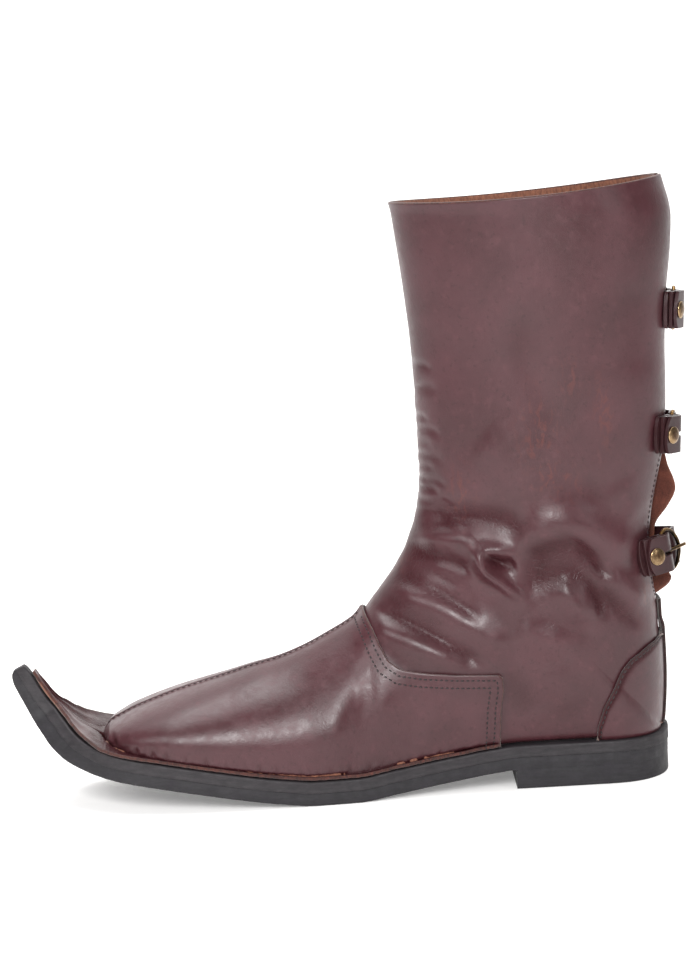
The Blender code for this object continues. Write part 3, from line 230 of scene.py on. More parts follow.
def crossSections(places, shares, cut=None):
    # Half a section goes from its ridge (0) over the widest place to its foot or back (1) as two superellipse
    # quarters; a share is arc length over that half's girth, negative on the outer side, and cut is an arc
    # length left out at the back
    columns = [smooth(np.arange(len(form)), form[:, k], places) for k in range(form.shape[1])]
    turn = np.linspace(0, np.pi / 2, 90)
    points = np.zeros((len(places), len(shares), 3))
    girths = np.zeros(len(places))
    for i, place in enumerate(places):
        baseX, baseZ, ridgeX, ridgeZ, outer, inner, widest, crown, under, foot = (c[i] for c in columns)
        feet = (0.0, 0.0)
        if place <= fanLast:
            baseZ = float(soleTop(baseX)) + air
            feet = [float(w) * foot for w in halfWidths(baseX, last["ledge"])]
        dip = last["collarDip"] * max(0.0, place - (len(form) - 2))
        for side, width, footWidth in ((-1, outer, feet[0]), (1, inner, feet[1])):
            width = max(width, footWidth * 1.001)
            y = np.concatenate([width * np.sin(turn) ** (2 / crown),
                                (footWidth + (width - footWidth) * np.cos(turn) ** (2 / under))[1:]])
            h = np.concatenate([widest + (1 - widest) * np.cos(turn) ** (2 / crown),
                                (widest - widest * np.sin(turn) ** (2 / under))[1:]])
            reach = np.hypot(ridgeX - baseX, ridgeZ - baseZ)
            run = np.concatenate([[0], np.cumsum(np.hypot(np.diff(y), np.diff(h) * reach))])
            girths[i] = run[-1]
            mine = shares > 0 if side > 0 else shares <= 0
            scale = 1 - (cut[i] / run[-1] if cut is not None else 0)
            at = np.abs(shares[mine]) * run[-1] * scale
            level = np.interp(at, run, h)
            points[i, mine, 0] = baseX + (ridgeX - baseX) * level
            points[i, mine, 1] = side * np.interp(at, run, y)
            points[i, mine, 2] = baseZ + (ridgeZ - baseZ) * level - dip * 4 * level * (1 - level)
    return points, girths


def backHeights(places):
    # heights of the rear line at these sections
    return smooth(np.arange(len(form)), form[:, 1], places)


def slitHalf(places):
    # half width of the slit at these sections
    rise = (backHeights(places) - last["slitStart"]) / (last["shaftHeight"] - last["slitStart"])
    half = last["slitWidth"] * smooth(slitRows[:, 0], slitRows[:, 1], rise)
    return np.where((places > fanLast) & (rise > 0), half, 0.0)


# meshes from grids

def normalsOf(grid):
    # unit normals from the cross product of the grid's two directions
    normal = np.cross(np.gradient(grid, axis=0), np.gradient(grid, axis=1))
    return normal / np.maximum(np.linalg.norm(normal, axis=2), 1e-12)[..., None]


def gridFaces(rows, columns, start=0):
    # quads between neighbouring points of a grid
    corner = start + (np.arange(rows - 1)[:, None] * columns + np.arange(columns - 1)).ravel()
    return np.stack([corner, corner + columns, corner + columns + 1, corner + 1], 1)


def ringFaces(rings, count):
    # quads between closed rings of count points each
    k = np.arange(count)
    ring = np.arange(rings - 1)[:, None] * count
    after = (k + 1) % count
    return np.stack([ring + k, ring + after, ring + count + after, ring + count + k], 2).reshape(-1, 4)


def boundary(rows, columns):
    # indices round a grid's edge, and of the points just inside them
    r, c = np.arange(rows), np.arange(columns)
    i = np.concatenate([np.zeros(columns - 1, int), r[:-1], np.full(columns - 1, rows - 1), r[:0:-1]])
    j = np.concatenate([c[:-1], np.full(rows - 1, columns - 1), c[:0:-1], np.zeros(rows - 1, int)])
    inI, inJ = np.clip(i, 1, rows - 2), np.clip(j, 1, columns - 2)
    return i * columns + j, inI * columns + inJ


def makePiece(name, points, faces, materials, indices=None, facing=True, attributes=None):
    # a smooth mesh object; facing turns its faces outwards, attributes hold a number for each point
    mesh = bpy.data.meshes.new(name)
    mesh.from_pydata(points.tolist(), [], faces if isinstance(faces, list) else faces.tolist())
    for material in materials:
        mesh.materials.append(material)
    if indices is not None:
        mesh.polygons.foreach_set("material_index", np.asarray(indices, np.int32))
    for key, values in (attributes or {}).items():
        layer = mesh.attributes.new(key, "FLOAT", "POINT")
        layer.data.foreach_set("value", np.asarray(values, np.float32))
    if facing:
        shape = bmesh.new()
        shape.from_mesh(mesh)
        bmesh.ops.recalc_face_normals(shape, faces=shape.faces)
        shape.to_mesh(mesh)
        shape.free()
    mesh.shade_smooth()
    piece = bpy.data.objects.new(name, mesh)
    bpy.context.scene.collection.objects.link(piece)
    return piece


def makeShell(name, outer, thickness, materials, attributes=None):
    # A closed wall: the outer grid, the same grid moved inwards, and between their edges a rim that bulges as
    # half an ellipse. The materials are those of the outside, the inside and the rim.
    rows, columns = outer.shape[:2]
    bulge = 0.35 * thickness
    normal = normalsOf(outer)
    flat, flatNormal = outer.reshape(-1, 3), normal.reshape(-1, 3)
    flatInner = (outer - normal * thickness).reshape(-1, 3)
    loop, inside = boundary(rows, columns)
    away = flat[loop] - flat[inside]
    away -= flatNormal[loop] * np.sum(away * flatNormal[loop], 1)[:, None]
    away /= np.maximum(np.linalg.norm(away, axis=1), 1e-9)[:, None]
    rims = [flat[loop] * (1 + np.cos(t)) / 2 + flatInner[loop] * (1 - np.cos(t)) / 2 + away * np.sin(t) * bulge
            for t in np.linspace(0, np.pi, 6)[1:-1]]
    count, edge = rows * columns, len(loop)
    top = gridFaces(rows, columns)
    low = gridFaces(rows, columns, count)[:, ::-1]
    starts = [loop] + [2 * count + k * edge + np.arange(edge) for k in range(len(rims))] + [loop + count]
    pairs = zip(starts, starts[1:])
    rim = np.concatenate([np.stack([a, np.roll(a, -1), np.roll(b, -1), b], 1) for a, b in pairs])
    indices = np.concatenate([np.zeros(len(top)), np.full(len(low), 1), np.full(len(rim), 2)])
    onPoints = {key: np.concatenate([values.ravel(), values.ravel(), np.tile(values.ravel()[loop], len(rims))])
                for key, values in (attributes or {}).items()}
    return makePiece(name, np.concatenate([flat, flatInner] + rims), np.concatenate([top, low, rim]), materials,
                     indices, True, onPoints)


def dress(piece, slotName, *replaced):
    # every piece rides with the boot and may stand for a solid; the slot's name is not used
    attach(piece, "root")
    if replaced:
        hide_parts(*replaced)
    return piece


# materials

def linearColour(code):
    # sRGB hex code to a linear colour
    channels = [int(code[k:k + 2], 16) / 255 for k in (1, 3, 5)]
    return [c / 12.92 if c <= 0.04045 else ((c + 0.055) / 1.055) ** 2.4 for c in channels] + [1.0]


def addNode(tree, kind, inputs, out=0, **settings):
    # one node; an input takes a number, a hex colour or the socket that feeds it, and one output comes back
    node = tree.nodes.new("ShaderNode" + kind)
    for key, value in settings.items():
        setattr(node, key, value)
    for key, value in inputs.items():
        if isinstance(value, bpy.types.NodeSocket):
            tree.links.new(value, node.inputs[key])
        else:
            node.inputs[key].default_value = linearColour(value) if isinstance(value, str) else value
    return node.outputs[out]


rangeInputs = ("Value", "From Min", "From Max", "To Min", "To Max")
eased = {"interpolation_type": "SMOOTHSTEP"}


def startMaterial(name, constants, patterns=None):
    # Constants go straight onto the shader. Patterns are cloudy noises: real size in millimetres, detail,
    # roughness, distortion and, where it differs, the squeeze along the axes.
    material = bpy.data.materials.new(name)
    material.use_nodes = True
    tree = material.node_tree
    for key, value in constants.items():
        socket = tree.nodes["Principled BSDF"].inputs[key]
        socket.default_value = linearColour(value) if isinstance(value, str) else value
    made = {"place": addNode(tree, "TexCoord", {}, "Object")}
    for key, (size, detail, roughness, distortion, *squeeze) in (patterns or {}).items():
        place = made["place"]
        if squeeze:
            place = addNode(tree, "Mapping", {"Vector": place, "Scale": squeeze[0]})
        made[key] = addNode(tree, "TexNoise", {"Vector": place, "Scale": 1000 / size, "Detail": detail,
                                               "Roughness": roughness, "Distortion": distortion})
    return material, tree, made


def finishMaterial(material, made, colours=(), ranges=None, reliefs=()):
    # Colours lie over each other. The first stands alone; each other row holds its pattern, the values between
    # which it eases in, the shares there and the colour, or only its share and the colour. Ranges feed the
    # shader's other sockets in the same way. Reliefs add up: pattern, strength, depth in millimetres.
    tree = material.node_tree
    shader = tree.nodes["Principled BSDF"].inputs
    ends = {"Base Color": colours[0]} if colours else {}
    for key, *limits, result in list(colours[1:]) + [row + (socket,) for socket, row in (ranges or {}).items()]:
        share = made[key]
        if limits:
            share = addNode(tree, "MapRange", dict(zip(rangeInputs, [share] + limits)), **eased)
        if result.startswith("#"):
            under = ends["Base Color"]
            ends["Base Color"] = addNode(tree, "Mix", {0: share, 6: under, 7: result}, 2, data_type="RGBA")
        else:
            ends[result] = share
    for key, strength, depth in reliefs:
        inputs = {"Height": made[key], "Strength": strength, "Distance": depth * mm}
        if "Normal" in ends:
            inputs["Normal"] = ends["Normal"]
        ends["Normal"] = addNode(tree, "Bump", inputs)
    for key, socket in ends.items():
        tree.links.new(socket, shader[key])
    return material


# the crease colour darkens the grain's hollows and is also the painted shade in the folds
leather = {"deep": "#3A1C20", "body": "#452429", "pale": "#522E33", "rust": "#5E2A22", "crease": "#260E0F"}
strapLeather = dict(leather, deep="#2A1416", body="#351B1E", pale="#432528")


def makeCalf(name, look, worn=True):
    # Vegetable-tanned calf, dyed through and waxed: tight pores, cloudy dye, a soft broad gloss that is duller
    # in the creases, painted shade that darkens the creases, and a red-brown crust where the finish has rubbed
    # off
    material, tree, made = startMaterial(
        name, {"IOR": 1.45, "Coat Weight": 0.04, "Coat Roughness": 0.25},
        {"cloud": (38.0, 4.0, 0.6, 0.0), "mottle": (5.5, 5.0, 0.65, 0.0), "grain": (2.6, 6.0, 0.6, 0.0),
         "wrinkle": (7.0, 5.0, 0.62, 1.6)})
    made["pores"] = addNode(tree, "TexVoronoi", {"Vector": made["place"], "Scale": 1000 / 0.9}, "Distance")
    colours = [look["deep"], ("cloud", 0.32, 0.68, look["body"]),
               ("mottle", 0.50, 0.80, 0.0, 0.55, look["pale"]), ("grain", 0.30, 0.45, 0.35, 0.0, look["crease"])]
    ranges = {"Roughness": ("mottle", 0.30, 0.75, 0.32, 0.46)}
    reliefs = [("pores", 0.55, 0.035), ("grain", 0.55, 0.10), ("wrinkle", 0.30, 0.30)]
    if worn:
        for key in ("crease", "scuff"):
            made[key] = addNode(tree, "Attribute", {}, "Fac", attribute_name=key)
        # rubbed flakes, and cracks in the creases
        squeezed = addNode(tree, "Mapping", {"Vector": made["place"], "Scale": (1.0, 1.0, 0.45)})
        flakes = addNode(tree, "TexNoise", {"Vector": squeezed, "Scale": 1000 / 3.2, "Detail": 6.0,
                                            "Roughness": 0.7, "Distortion": 0.8})
        cracks = addNode(tree, "TexVoronoi", {"Vector": made["place"], "Scale": 1000 / 2.4}, "Distance",
                         feature="DISTANCE_TO_EDGE")
        rows = [(flakes, 0.50, 0.60), (cracks, 0.02, 0.12, 1.0, 0.0), (made["crease"], 0.05, 0.6)]
        flaked, cracked, bent = [addNode(tree, "MapRange", dict(zip(rangeInputs, row)), **eased) for row in rows]
        rubbed = addNode(tree, "Math", {0: made["scuff"], 1: flaked}, operation="MULTIPLY")
        made["rubbed"] = addNode(tree, "Math", {0: rubbed, 1: 0.45}, operation="MULTIPLY")
        # painted shade: the crease attribute darkens the colour towards the crease colour
        made["paintedCreaseShade"] = addNode(tree, "Math", {0: made["crease"], 1: 0.65}, operation="MULTIPLY")
        cracked = addNode(tree, "Math", {0: bent, 1: cracked}, operation="MULTIPLY")
        made["folded"] = addNode(tree, "Math", {0: 1.0, 1: cracked}, operation="SUBTRACT")
        colours += [("paintedCreaseShade", look["crease"]), ("rubbed", look["rust"])]
        ranges["Specular IOR Level"] = ("crease", 0.0, 0.8, 0.5, 0.12)
        reliefs.append(("folded", 0.35, 0.30))
    return finishMaterial(material, made, colours, ranges, reliefs)


def makeFlesh(name, light, dark):
    # The undyed inside of the hide, or its cut edge: matt, fibrous, tan to dark brown
    material, tree, made = startMaterial(
        name, {"Roughness": 0.86, "IOR": 1.45, "Sheen Weight": 0.25},
        {"fibre": (1.1, 5.0, 0.7, 0.0, (1.0, 1.0, 0.4)), "blotch": (14.0, 3.0, 0.55, 0.0)})
    colours = [dark, ("fibre", 0.30, 0.70, light), ("blotch", 0.45, 0.75, 0.0, 0.5, dark)]
    return finishMaterial(material, made, colours, None, [("fibre", 0.6, 0.12)])


def makeSuede(name, dark, light, brushedTo):
    # Split hide with a raised nap: rust red, no gloss, lighter where the nap is brushed one way
    material, tree, made = startMaterial(
        name, {"Roughness": 0.95, "IOR": 1.4, "Sheen Weight": 0.6, "Sheen Roughness": 0.5,
               "Sheen Tint": "#C07A60"},
        {"nap": (0.8, 5.0, 0.75, 0.0), "brushed": (11.0, 4.0, 0.6, 1.0)})
    colours = [dark, ("nap", 0.25, 0.75, light), ("brushed", 0.40, 0.70, 0.0, 0.6, brushedTo)]
    return finishMaterial(material, made, colours, None, [("nap", 0.7, 0.22)])


def makeRubber(name, dark, light, dusty):
    # Sheet rubber, cut to the outline and buffed on a wheel: matt charcoal with scratches along the edge
    material, tree, made = startMaterial(
        name, {"IOR": 1.52}, {"buffed": (1.6, 6.0, 0.65, 0.0, (0.22, 0.22, 1.0)), "dust": (9.0, 5.0, 0.7, 0.0),
                              "speck": (0.7, 3.0, 0.6, 0.0)})
    colours = [dark, ("buffed", 0.35, 0.65, light), ("dust", 0.52, 0.80, 0.0, 0.5, dusty)]
    return finishMaterial(material, made, colours, {"Roughness": ("dust", 0.3, 0.8, 0.58, 0.80)},
                          [("buffed", 0.6, 0.16), ("speck", 0.5, 0.06)])


def makeThread(name, code):
    # Waxed linen thread: dark, slightly glossy, its twist only hinted at
    material, tree, made = startMaterial(name, {"Roughness": 0.55, "IOR": 1.5, "Base Color": code},
                                         {"twist": (0.4, 2.0, 0.55, 0.0)})
    return finishMaterial(material, made, reliefs=[("twist", 0.5, 0.05)])


def makeBrass(name, bright, patina, polish):
    # Cast brass with an antique patina: dark in its hollows and pores, worn to metal where it is touched
    material, tree, made = startMaterial(name, {"Metallic": 1.0}, {"worn": (3.0, 5.0, 0.65, 0.0),
                                                                   "pits": (0.7, 4.0, 0.6, 0.0)})
    proud = addNode(tree, "NewGeometry", {}, "Pointiness")
    proud = addNode(tree, "MapRange", {"Value": proud, "From Min": 0.49, "From Max": 0.56}, **eased)
    halfWorn = addNode(tree, "Math", {0: made["worn"], 1: 0.5}, operation="MULTIPLY")
    made["touched"] = addNode(tree, "Math", {0: proud, 1: halfWorn}, operation="ADD")
    return finishMaterial(material, made, [patina, ("touched", 0.35 - polish, 0.85 - polish, bright)],
                          {"Roughness": ("worn", 0.3, 0.7, 0.42, 0.26)}, [("pits", 0.4, 0.05)])


calf = makeCalf("waxed_calf", leather)
strapHide = makeCalf("strap_calf", strapLeather, False)
fleshInside = makeFlesh("flesh_side", "#8A5A44", "#5E382C")
rawEdge = makeFlesh("cut_edge", "#522A22", "#241211")
darkEdge = makeFlesh("burnished_edge", "#341B1A", "#1C0E0E")
suede = makeSuede("split_suede", "#2E130E", "#4C231A", "#5C2E21")
soleRubber = makeRubber("buffed_rubber", "#110E13", "#1A161C", "#252027")
midRubber = makeRubber("cut_midsole", "#171317", "#241F23", "#332C31")
darkThread = makeThread("waxed_thread", "#1E1315")
antiqueBrass = makeBrass("antique_brass", "#94744A", "#261F19", 0.0)
rivetBrass = makeBrass("worn_brass", "#B89C76", "#4A3628", 0.1)
print("materials ready")


# folds of the upper, placed on its outer side, in millimetres of the boot: x, z

folds = [
    # height, width, points: a positive one is a rounded roll, a negative one under 5.5 wide is a sharp crease
    (2.9, 3.0, [(-33, 118), (-41, 120.5), (-47, 121), (-52, 117), (-50.5, 111), (-44, 105), (-38, 100),
                (-32, 94)]),
    (-3.6, 3.4, [(-50, 117), (-46, 115.5), (-41, 113.5), (-35, 114.5)]),
    (2.2, 9.5, [(-36, 122), (-26, 127), (-15, 131), (-5, 132), (6, 127), (16, 119), (25, 109)]),
    (-3.2, 4.6, [(-36, 113), (-27, 117), (-17, 121), (-8, 122), (0, 117), (6, 110), (9, 101)]),
    (-2.2, 10.0, [(-36, 106), (-24, 108), (-10, 109), (2, 105)]),
    (2.4, 7.5, [(-84, 124), (-72, 126), (-62, 126), (-55, 121), (-50, 112), (-42, 102)]),
    (-2.4, 7.0, [(-82, 134), (-68, 136), (-56, 138), (-44, 137), (-34, 133), (-26, 128)]),
    (-1.6, 3.8, [(-92, 117), (-82, 117.5), (-72, 117), (-62, 114), (-56, 108)]),
    (-1.9, 4.2, [(-5, 106), (0, 102), (4, 94), (7, 84)]),
    (-1.6, 3.8, [(3, 102), (9, 95), (16, 88), (27, 80)]),
    (1.9, 6.0, [(-17, 104), (-11, 98), (-6, 90), (-4, 82)]),
    (1.7, 6.0, [(8, 107), (14, 101), (22, 94), (29, 88)]),
    (-2.3, 3.8, [(-109, 94), (-96, 88.5), (-84, 83), (-70, 75), (-58, 67), (-50, 61)]),
    (2.1, 6.0, [(-110, 86), (-97, 80), (-84, 74), (-72, 69), (-62, 64)]),
    (2.0, 8.0, [(-104, 101), (-92, 98), (-78, 93), (-62, 85), (-48, 75), (-38, 64)]),
    (-1.3, 3.6, [(-99, 107), (-86, 105), (-74, 100), (-62, 93), (-52, 84)]),
    (-0.8, 3.2, [(-103, 98), (-92, 94), (-80, 88.5), (-67, 81)]),
    (-0.8, 3.2, [(-94, 112), (-84, 111), (-73, 108), (-62, 101)]),
    (-0.7, 3.2, [(-92, 123), (-82, 122), (-72, 122), (-64, 119)]),
    (-1.0, 6.0, [(-30, 90), (-20, 84), (-8, 80), (2, 74)]),
    (1.1, 8.0, [(-38, 82), (-26, 76), (-12, 72)]),
    (-0.9, 7.0, [(-44, 60), (-36, 48), (-32, 36)]),
    (0.9, 8.0, [(-20, 62), (-16, 50), (-10, 38)]),
    (-0.8, 9.0, [(-28, 243), (-30, 215), (-20, 190), (-14, 170)]),
    (0.9, 12.0, [(-50, 177), (-40, 168), (-26, 158)]),
    (-0.8, 9.0, [(4, 160), (0, 146), (8, 134), (20, 128)]),
    (0.8, 10.0, [(14, 150), (20, 140), (26, 130)]),
    (-0.6, 12.0, [(30, 250), (26, 225), (27, 200)]),
]
foldGain = 1.4
# short creases that cross the front edge: z at the edge, z inside, reach inwards
frontCreases = [(212, 210, 11), (199, 201, 13), (186, 184, 8), (180, 178, 14), (172, 173, 9), (167, 165, 15),
                (160, 161, 10), (155, 153, 16), (149, 150, 12), (144, 142, 18), (138, 139, 15), (133, 131, 20),
                (128, 130, 14), (121, 118, 17), (114, 112, 20), (108, 105, 17), (103, 100, 21), (97, 94, 16)]
for edgeZ, innerZ, reach in frontCreases:
    frontX = -82 - max(0.0, 132 - edgeZ) * 0.62
    middle = (frontX + reach * 0.5, (edgeZ + innerZ) / 2 + 0.8)
    folds.append((-0.52 - 0.03 * (reach % 5), 2.3, [(frontX - 4, edgeZ), middle, (frontX + reach, innerZ)]))
# rubbed places: x, z, half width, half height
scuffs = [(-22, 175, 9, 22), (-12, 152, 9, 8), (10, 186, 5, 17), (-6, 205, 4, 9), (-95, 118, 7, 9),
          (30, 88, 6, 10), (-60, 150, 6, 14)]


def along(points, count):
    # a smooth line through given points, evenly divided
    points = np.array(points, float)
    run = np.concatenate([[0], np.cumsum(np.linalg.norm(np.diff(points, axis=0), axis=1))])
    fine = np.linspace(0, run[-1], 60)
    curve = np.stack([smooth(run, points[:, k], fine) for k in range(points.shape[1])], 1)
    step = np.concatenate([[0], np.cumsum(np.linalg.norm(np.diff(curve, axis=0), axis=1))])
    at = np.linspace(0, step[-1], count)
    return np.stack([np.interp(at, step, curve[:, k]) for k in range(points.shape[1])], 1)


def nearLine(spots, line):
    # distance of each spot to a line of points, and how far along the line the nearest place is
    best = np.full(len(spots), 1e9)
    share = np.zeros(len(spots))
    for k in range(len(line) - 1):
        start, way = line[k], line[k + 1] - line[k]
        t = np.clip((spots - start) @ way / (way @ way), 0, 1)
        gap = np.linalg.norm(spots - start - t[:, None] * way, axis=1)
        closer = gap < best
        best = np.where(closer, gap, best)
        share = np.where(closer, (k + t) / (len(line) - 1), share)
    return best, share


def foldField(grid):
    # Height of the folds at each point, in metres, and how deep in a crease it lies, which is painted as shade.
    # With d the distance to a fold's line and w its width, a roll falls off as exp(-(d/w)^2) and a sharp crease
    # as (1 + (1.3 d/w)^2)^-1.5; both fade at the ends of their line and at the boot's middle plane.
    flat = grid.reshape(-1, 3) / mm
    height = np.zeros(len(flat))
    crease = np.zeros(len(flat))
    for side in (-1, 1):
        turnIn = ramp(flat[:, 1] * side, -5, 7)
        for number, (size, width, points) in enumerate(folds):
            line = along(points, 14)
            size = size * foldGain
            if side > 0:    # the inner side is creased alike, but not the same
                line = line + [2.5 * np.sin(number * 2.1), 4.0 * np.sin(number * 1.3) - 3.0]
                size = size * (0.75 + 0.25 * np.sin(number * 3.7))
            low, high = line.min(0) - 3 * width, line.max(0) + 3 * width
            near = np.flatnonzero((flat[:, 0] > low[0]) & (flat[:, 0] < high[0]) & (flat[:, 2] > low[1])
                                  & (flat[:, 2] < high[1]) & (turnIn > 0))
            if len(near) == 0:
                continue
            gap, share = nearLine(flat[near][:, [0, 2]], line)
            taper = ramp(np.minimum(share, 1 - share), 0.0, 0.22)
            sharp = size < 0 and width < 5.5
            profile = (1 + (1.3 * gap / width) ** 2) ** -1.5 if sharp else np.exp(-(gap / width) ** 2)
            fall = profile * taper * turnIn[near]
            height[near] += size * fall
            # painted shade: deepest in sharp creases, fainter in broad troughs
            if size < 0:
                crease[near] += fall ** 2 * min(1.0, -size / (2.2 if sharp else 5.0))
    return (height * mm).reshape(grid.shape[:2]), np.clip(crease, 0, 1).reshape(grid.shape[:2])


def soften(field, times):
    # each value moves towards the mean of its neighbours, so that a crease finer than the grid isn't beaded
    for _ in range(times):
        field[1:-1] = 0.25 * field[:-2] + 0.5 * field[1:-1] + 0.25 * field[2:]
        field[:, 1:-1] = 0.25 * field[:, :-2] + 0.5 * field[:, 1:-1] + 0.25 * field[:, 2:]
    return field


def scuffField(grid):
    # how rubbed each point is, as a sum of round bells
    flat = grid.reshape(-1, 3) / mm
    worn = np.zeros(len(flat))
    for x, z, wide, tall in scuffs:
        worn += np.exp(-((flat[:, 0] - x) / wide) ** 2 - ((flat[:, 2] - z) / tall) ** 2)
    return np.clip(worn, 0, 1).reshape(grid.shape[:2])


def blendJoint(grid, places, shares):
    # heel and shaft sections run softly into each other round the row where they meet
    joint = int(np.searchsorted(places, fanLast))
    weight = np.broadcast_to(ramp(0.97 - np.abs(shares), 0, 0.06), grid.shape[:2])
    weight = weight[joint - 9:joint + 12, :, None]
    for _ in range(16):
        rows = grid[joint - 9:joint + 12]
        mean = (grid[joint - 10:joint + 11] + grid[joint - 8:joint + 13]) / 2
        grid[joint - 9:joint + 12] = rows + (mean - rows) * 0.5 * weight


# upper: quarters and shaft in one, its folds, slit and raw collar edge

upperLook = {"rowsToe": 10, "rowsFan": 96, "rowsShaft": 122, "columns": 98}
places = np.concatenate([
    np.linspace(0, toeLast - 1, upperLook["rowsToe"])[:-1],
    toeLast - 1 + (fanLast - toeLast + 1) * (1 - (1 - np.linspace(0, 1, upperLook["rowsFan"])) ** 1.35)[:-1],
    fanLast + (shaftLast - fanLast) * np.linspace(0, 1, upperLook["rowsShaft"]) ** 1.15])
half = np.linspace(0, 1, upperLook["columns"] + 1)
shares = np.concatenate([-half[:0:-1], half])
outside, _ = crossSections(places, shares, slitHalf(places))
blendJoint(outside, places, shares[None, :])
rise, crease = foldField(outside)
rise, crease = soften(rise, 1), soften(crease, 2)
footFade = ramp(outside[..., 2] - soleTop(outside[..., 0]), 0.001, 0.014)
outside = outside + normalsOf(outside) * (rise * footFade)[..., None]
# the crease attribute carries the painted shade of the folds, scuff the rubbed places
upperPiece = makeShell("upper_leather", outside, last["wall"], [calf, fleshInside, rawEdge],
                       {"crease": crease, "scuff": scuffField(outside)})
dress(upperPiece, "upper_leather", "upper")
print("upper ready")


# vamp: toe box, stitched-down edge and the cover of the curled point

vampLook = {"rows": 176, "columns": 78, "flange": 22, "cover": 54, "puckers": 0.55, "channel": 0.9}
top = last["vamp"] + last["gap"] + last["clearance"]    # midsole to the leather's outer face
half = np.linspace(0, 1, vampLook["columns"] + 1)
shares = np.concatenate([-half[:0:-1], half])
finePlaces = np.linspace(0, fanLast, 1100)
fine, _ = crossSections(finePlaces, shares)
edgeX = heelRear - last["length"] * vampEdge[::-1, 0]
edgeZ = last["instepRise"] * vampEdge[::-1, 1]
inside = np.interp(fine[..., 2], edgeZ, edgeX) - fine[..., 0]
firstOut = np.argmax(inside < 0, axis=0)
column = np.arange(len(shares))
before, after = inside[firstOut - 1, column], inside[firstOut, column]
ends = finePlaces[firstOut - 1] + (finePlaces[1] - finePlaces[0]) * np.clip(before / (before - after), 0, 1)
targets = np.linspace(0, 1, vampLook["rows"])[:, None] ** 0.92 * ends[None, :]
wall = np.stack([np.stack([np.interp(targets[:, j], finePlaces, fine[:, j, k]) for j in column], 1)
                 for k in range(3)], 2)
wall = wall + normalsOf(wall) * top


def flangeColumns(foot, side):
    # from the sole's edge to the wall's foot
    outer, inner = halfWidths(foot[:, 0], last["flangeInset"])
    edge = -outer if side < 0 else inner
    t = np.linspace(0, 1, vampLook["flange"] + 1)[:-1]
    y = edge[:, None] + (foot[:, 1] - edge)[:, None] * t
    x = np.repeat(foot[:, :1], len(t), 1)
    return np.stack([x, y, soleTop(x) + top], 2)


wall[:, [0, -1], 2] = soleTop(wall[:, [0, -1], 0]) + top
skin = np.concatenate([flangeColumns(wall[:, 0], -1), wall, flangeColumns(wall[:, -1], 1)[:, ::-1]], 1)
firstRow = skin[0]
tipX = np.linspace(soleX[0] + last["toeEndRound"] * 0.6, soleX[0] + last["length"] * 0.25, 600)
z, nx, nz, thick = soleLine(tipX)
lift = thick + last["midsole"] + last["gap"] + top
front = float(np.interp(firstRow[:, 0].min() - 0.0006, tipX + nx * lift, tipX))
step = np.concatenate([[0], np.cumsum(np.hypot(np.diff(tipX), np.diff(z)))])
stops = np.interp(np.linspace(0, np.interp(front, tipX, step), vampLook["cover"]), step, tipX)
z, nx, nz, thick = soleLine(stops)
outer, inner = halfWidths(stops, last["flangeInset"])
across = firstRow[:, 1] / np.where(firstRow[:, 1] < 0, -firstRow[0, 1], firstRow[-1, 1])
lift = thick + last["midsole"] + last["gap"] + top
lengthwise = np.linspace(0, 1, len(stops))[:, None]
wide = np.abs(across)[None, :]
channel = (np.exp(-((wide - 0.42) / 0.16) ** 2) * 0.8 + ramp(wide, 0.78, 1.0) * 0.9 - 0.5 * (1 - wide)) \
    * vampLook["channel"] * mm * ramp(lengthwise, 0.0, 0.18) * ramp(1.0 - lengthwise, 0.0, 0.25)
cover = np.stack([np.repeat((stops + nx * lift)[:, None], len(across), 1) + nx[:, None] * channel,
                  np.where(across < 0, across * outer[:, None], across * inner[:, None]),
                  np.repeat((z + nz * lift)[:, None], len(across), 1) + nz[:, None] * channel], 2)
skin = np.concatenate([cover, skin])
flange = vampLook["flange"]
for _ in range(10):    # the bend from the wall to the turned-out edge is soft
    smoothed = skin.copy()
    smoothed[:, 1:-1] = 0.25 * skin[:, :-2] + 0.5 * skin[:, 1:-1] + 0.25 * skin[:, 2:]
    for low, high in ((flange - 3, flange + 4), (-flange - 4, -flange + 3)):
        skin[1:-1, low:high] = smoothed[1:-1, low:high]
for _ in range(70):    # and so is the one from the toe box to the curled point
    smoothed = skin.copy()
    smoothed[1:-1] = 0.25 * skin[:-2] + 0.5 * skin[1:-1] + 0.25 * skin[2:]
    band = slice(len(cover) - 14, len(cover) + 12)
    skin[band] = smoothed[band]

# centre seam, puckers over the stitched edge and a few soft dents, in millimetres
normal = normalsOf(skin)
flat = skin / mm
signedShare = np.concatenate([np.full(flange, -1.0), shares, np.full(flange, 1.0)])[None, :]
isWall = np.zeros(skin.shape[:2])
isWall[len(cover):] = 1.0
seamGap = np.abs(flat[..., 1] + 0.8)
onTop = ramp(0.3 - np.abs(signedShare), 0.0, 0.2) * isWall
seam = (-0.9 * np.exp(-(seamGap / 0.8) ** 2) + 0.45 * np.exp(-((seamGap - 2.0) / 1.1) ** 2)) * onTop
above = flat[..., 2] - soleTop(skin[..., 0]) / mm
lowWall = ramp(10.0 - above, 0.0, 8.0) * ramp(above, 2.6, 4.6) * isWall
waves = (np.sin(flat[..., 0] * 1.25 + 1.4 * np.sin(flat[..., 0] * 0.31)) * 0.6
         + np.sin(flat[..., 0] * 0.71 + 2.0 + above * 0.25) * 0.5)
puckers = waves * lowWall * vampLook["puckers"] * (1 + 1.2 * ramp(-flat[..., 0], 195, 235))
edgeWaves = 0.10 * np.sin(flat[..., 0] * 2.1 + np.sin(flat[..., 0] * 0.9) * 2) * isWall * (above < 4.0) \
    * ramp(np.abs(flat[..., 1]), 2, 10)
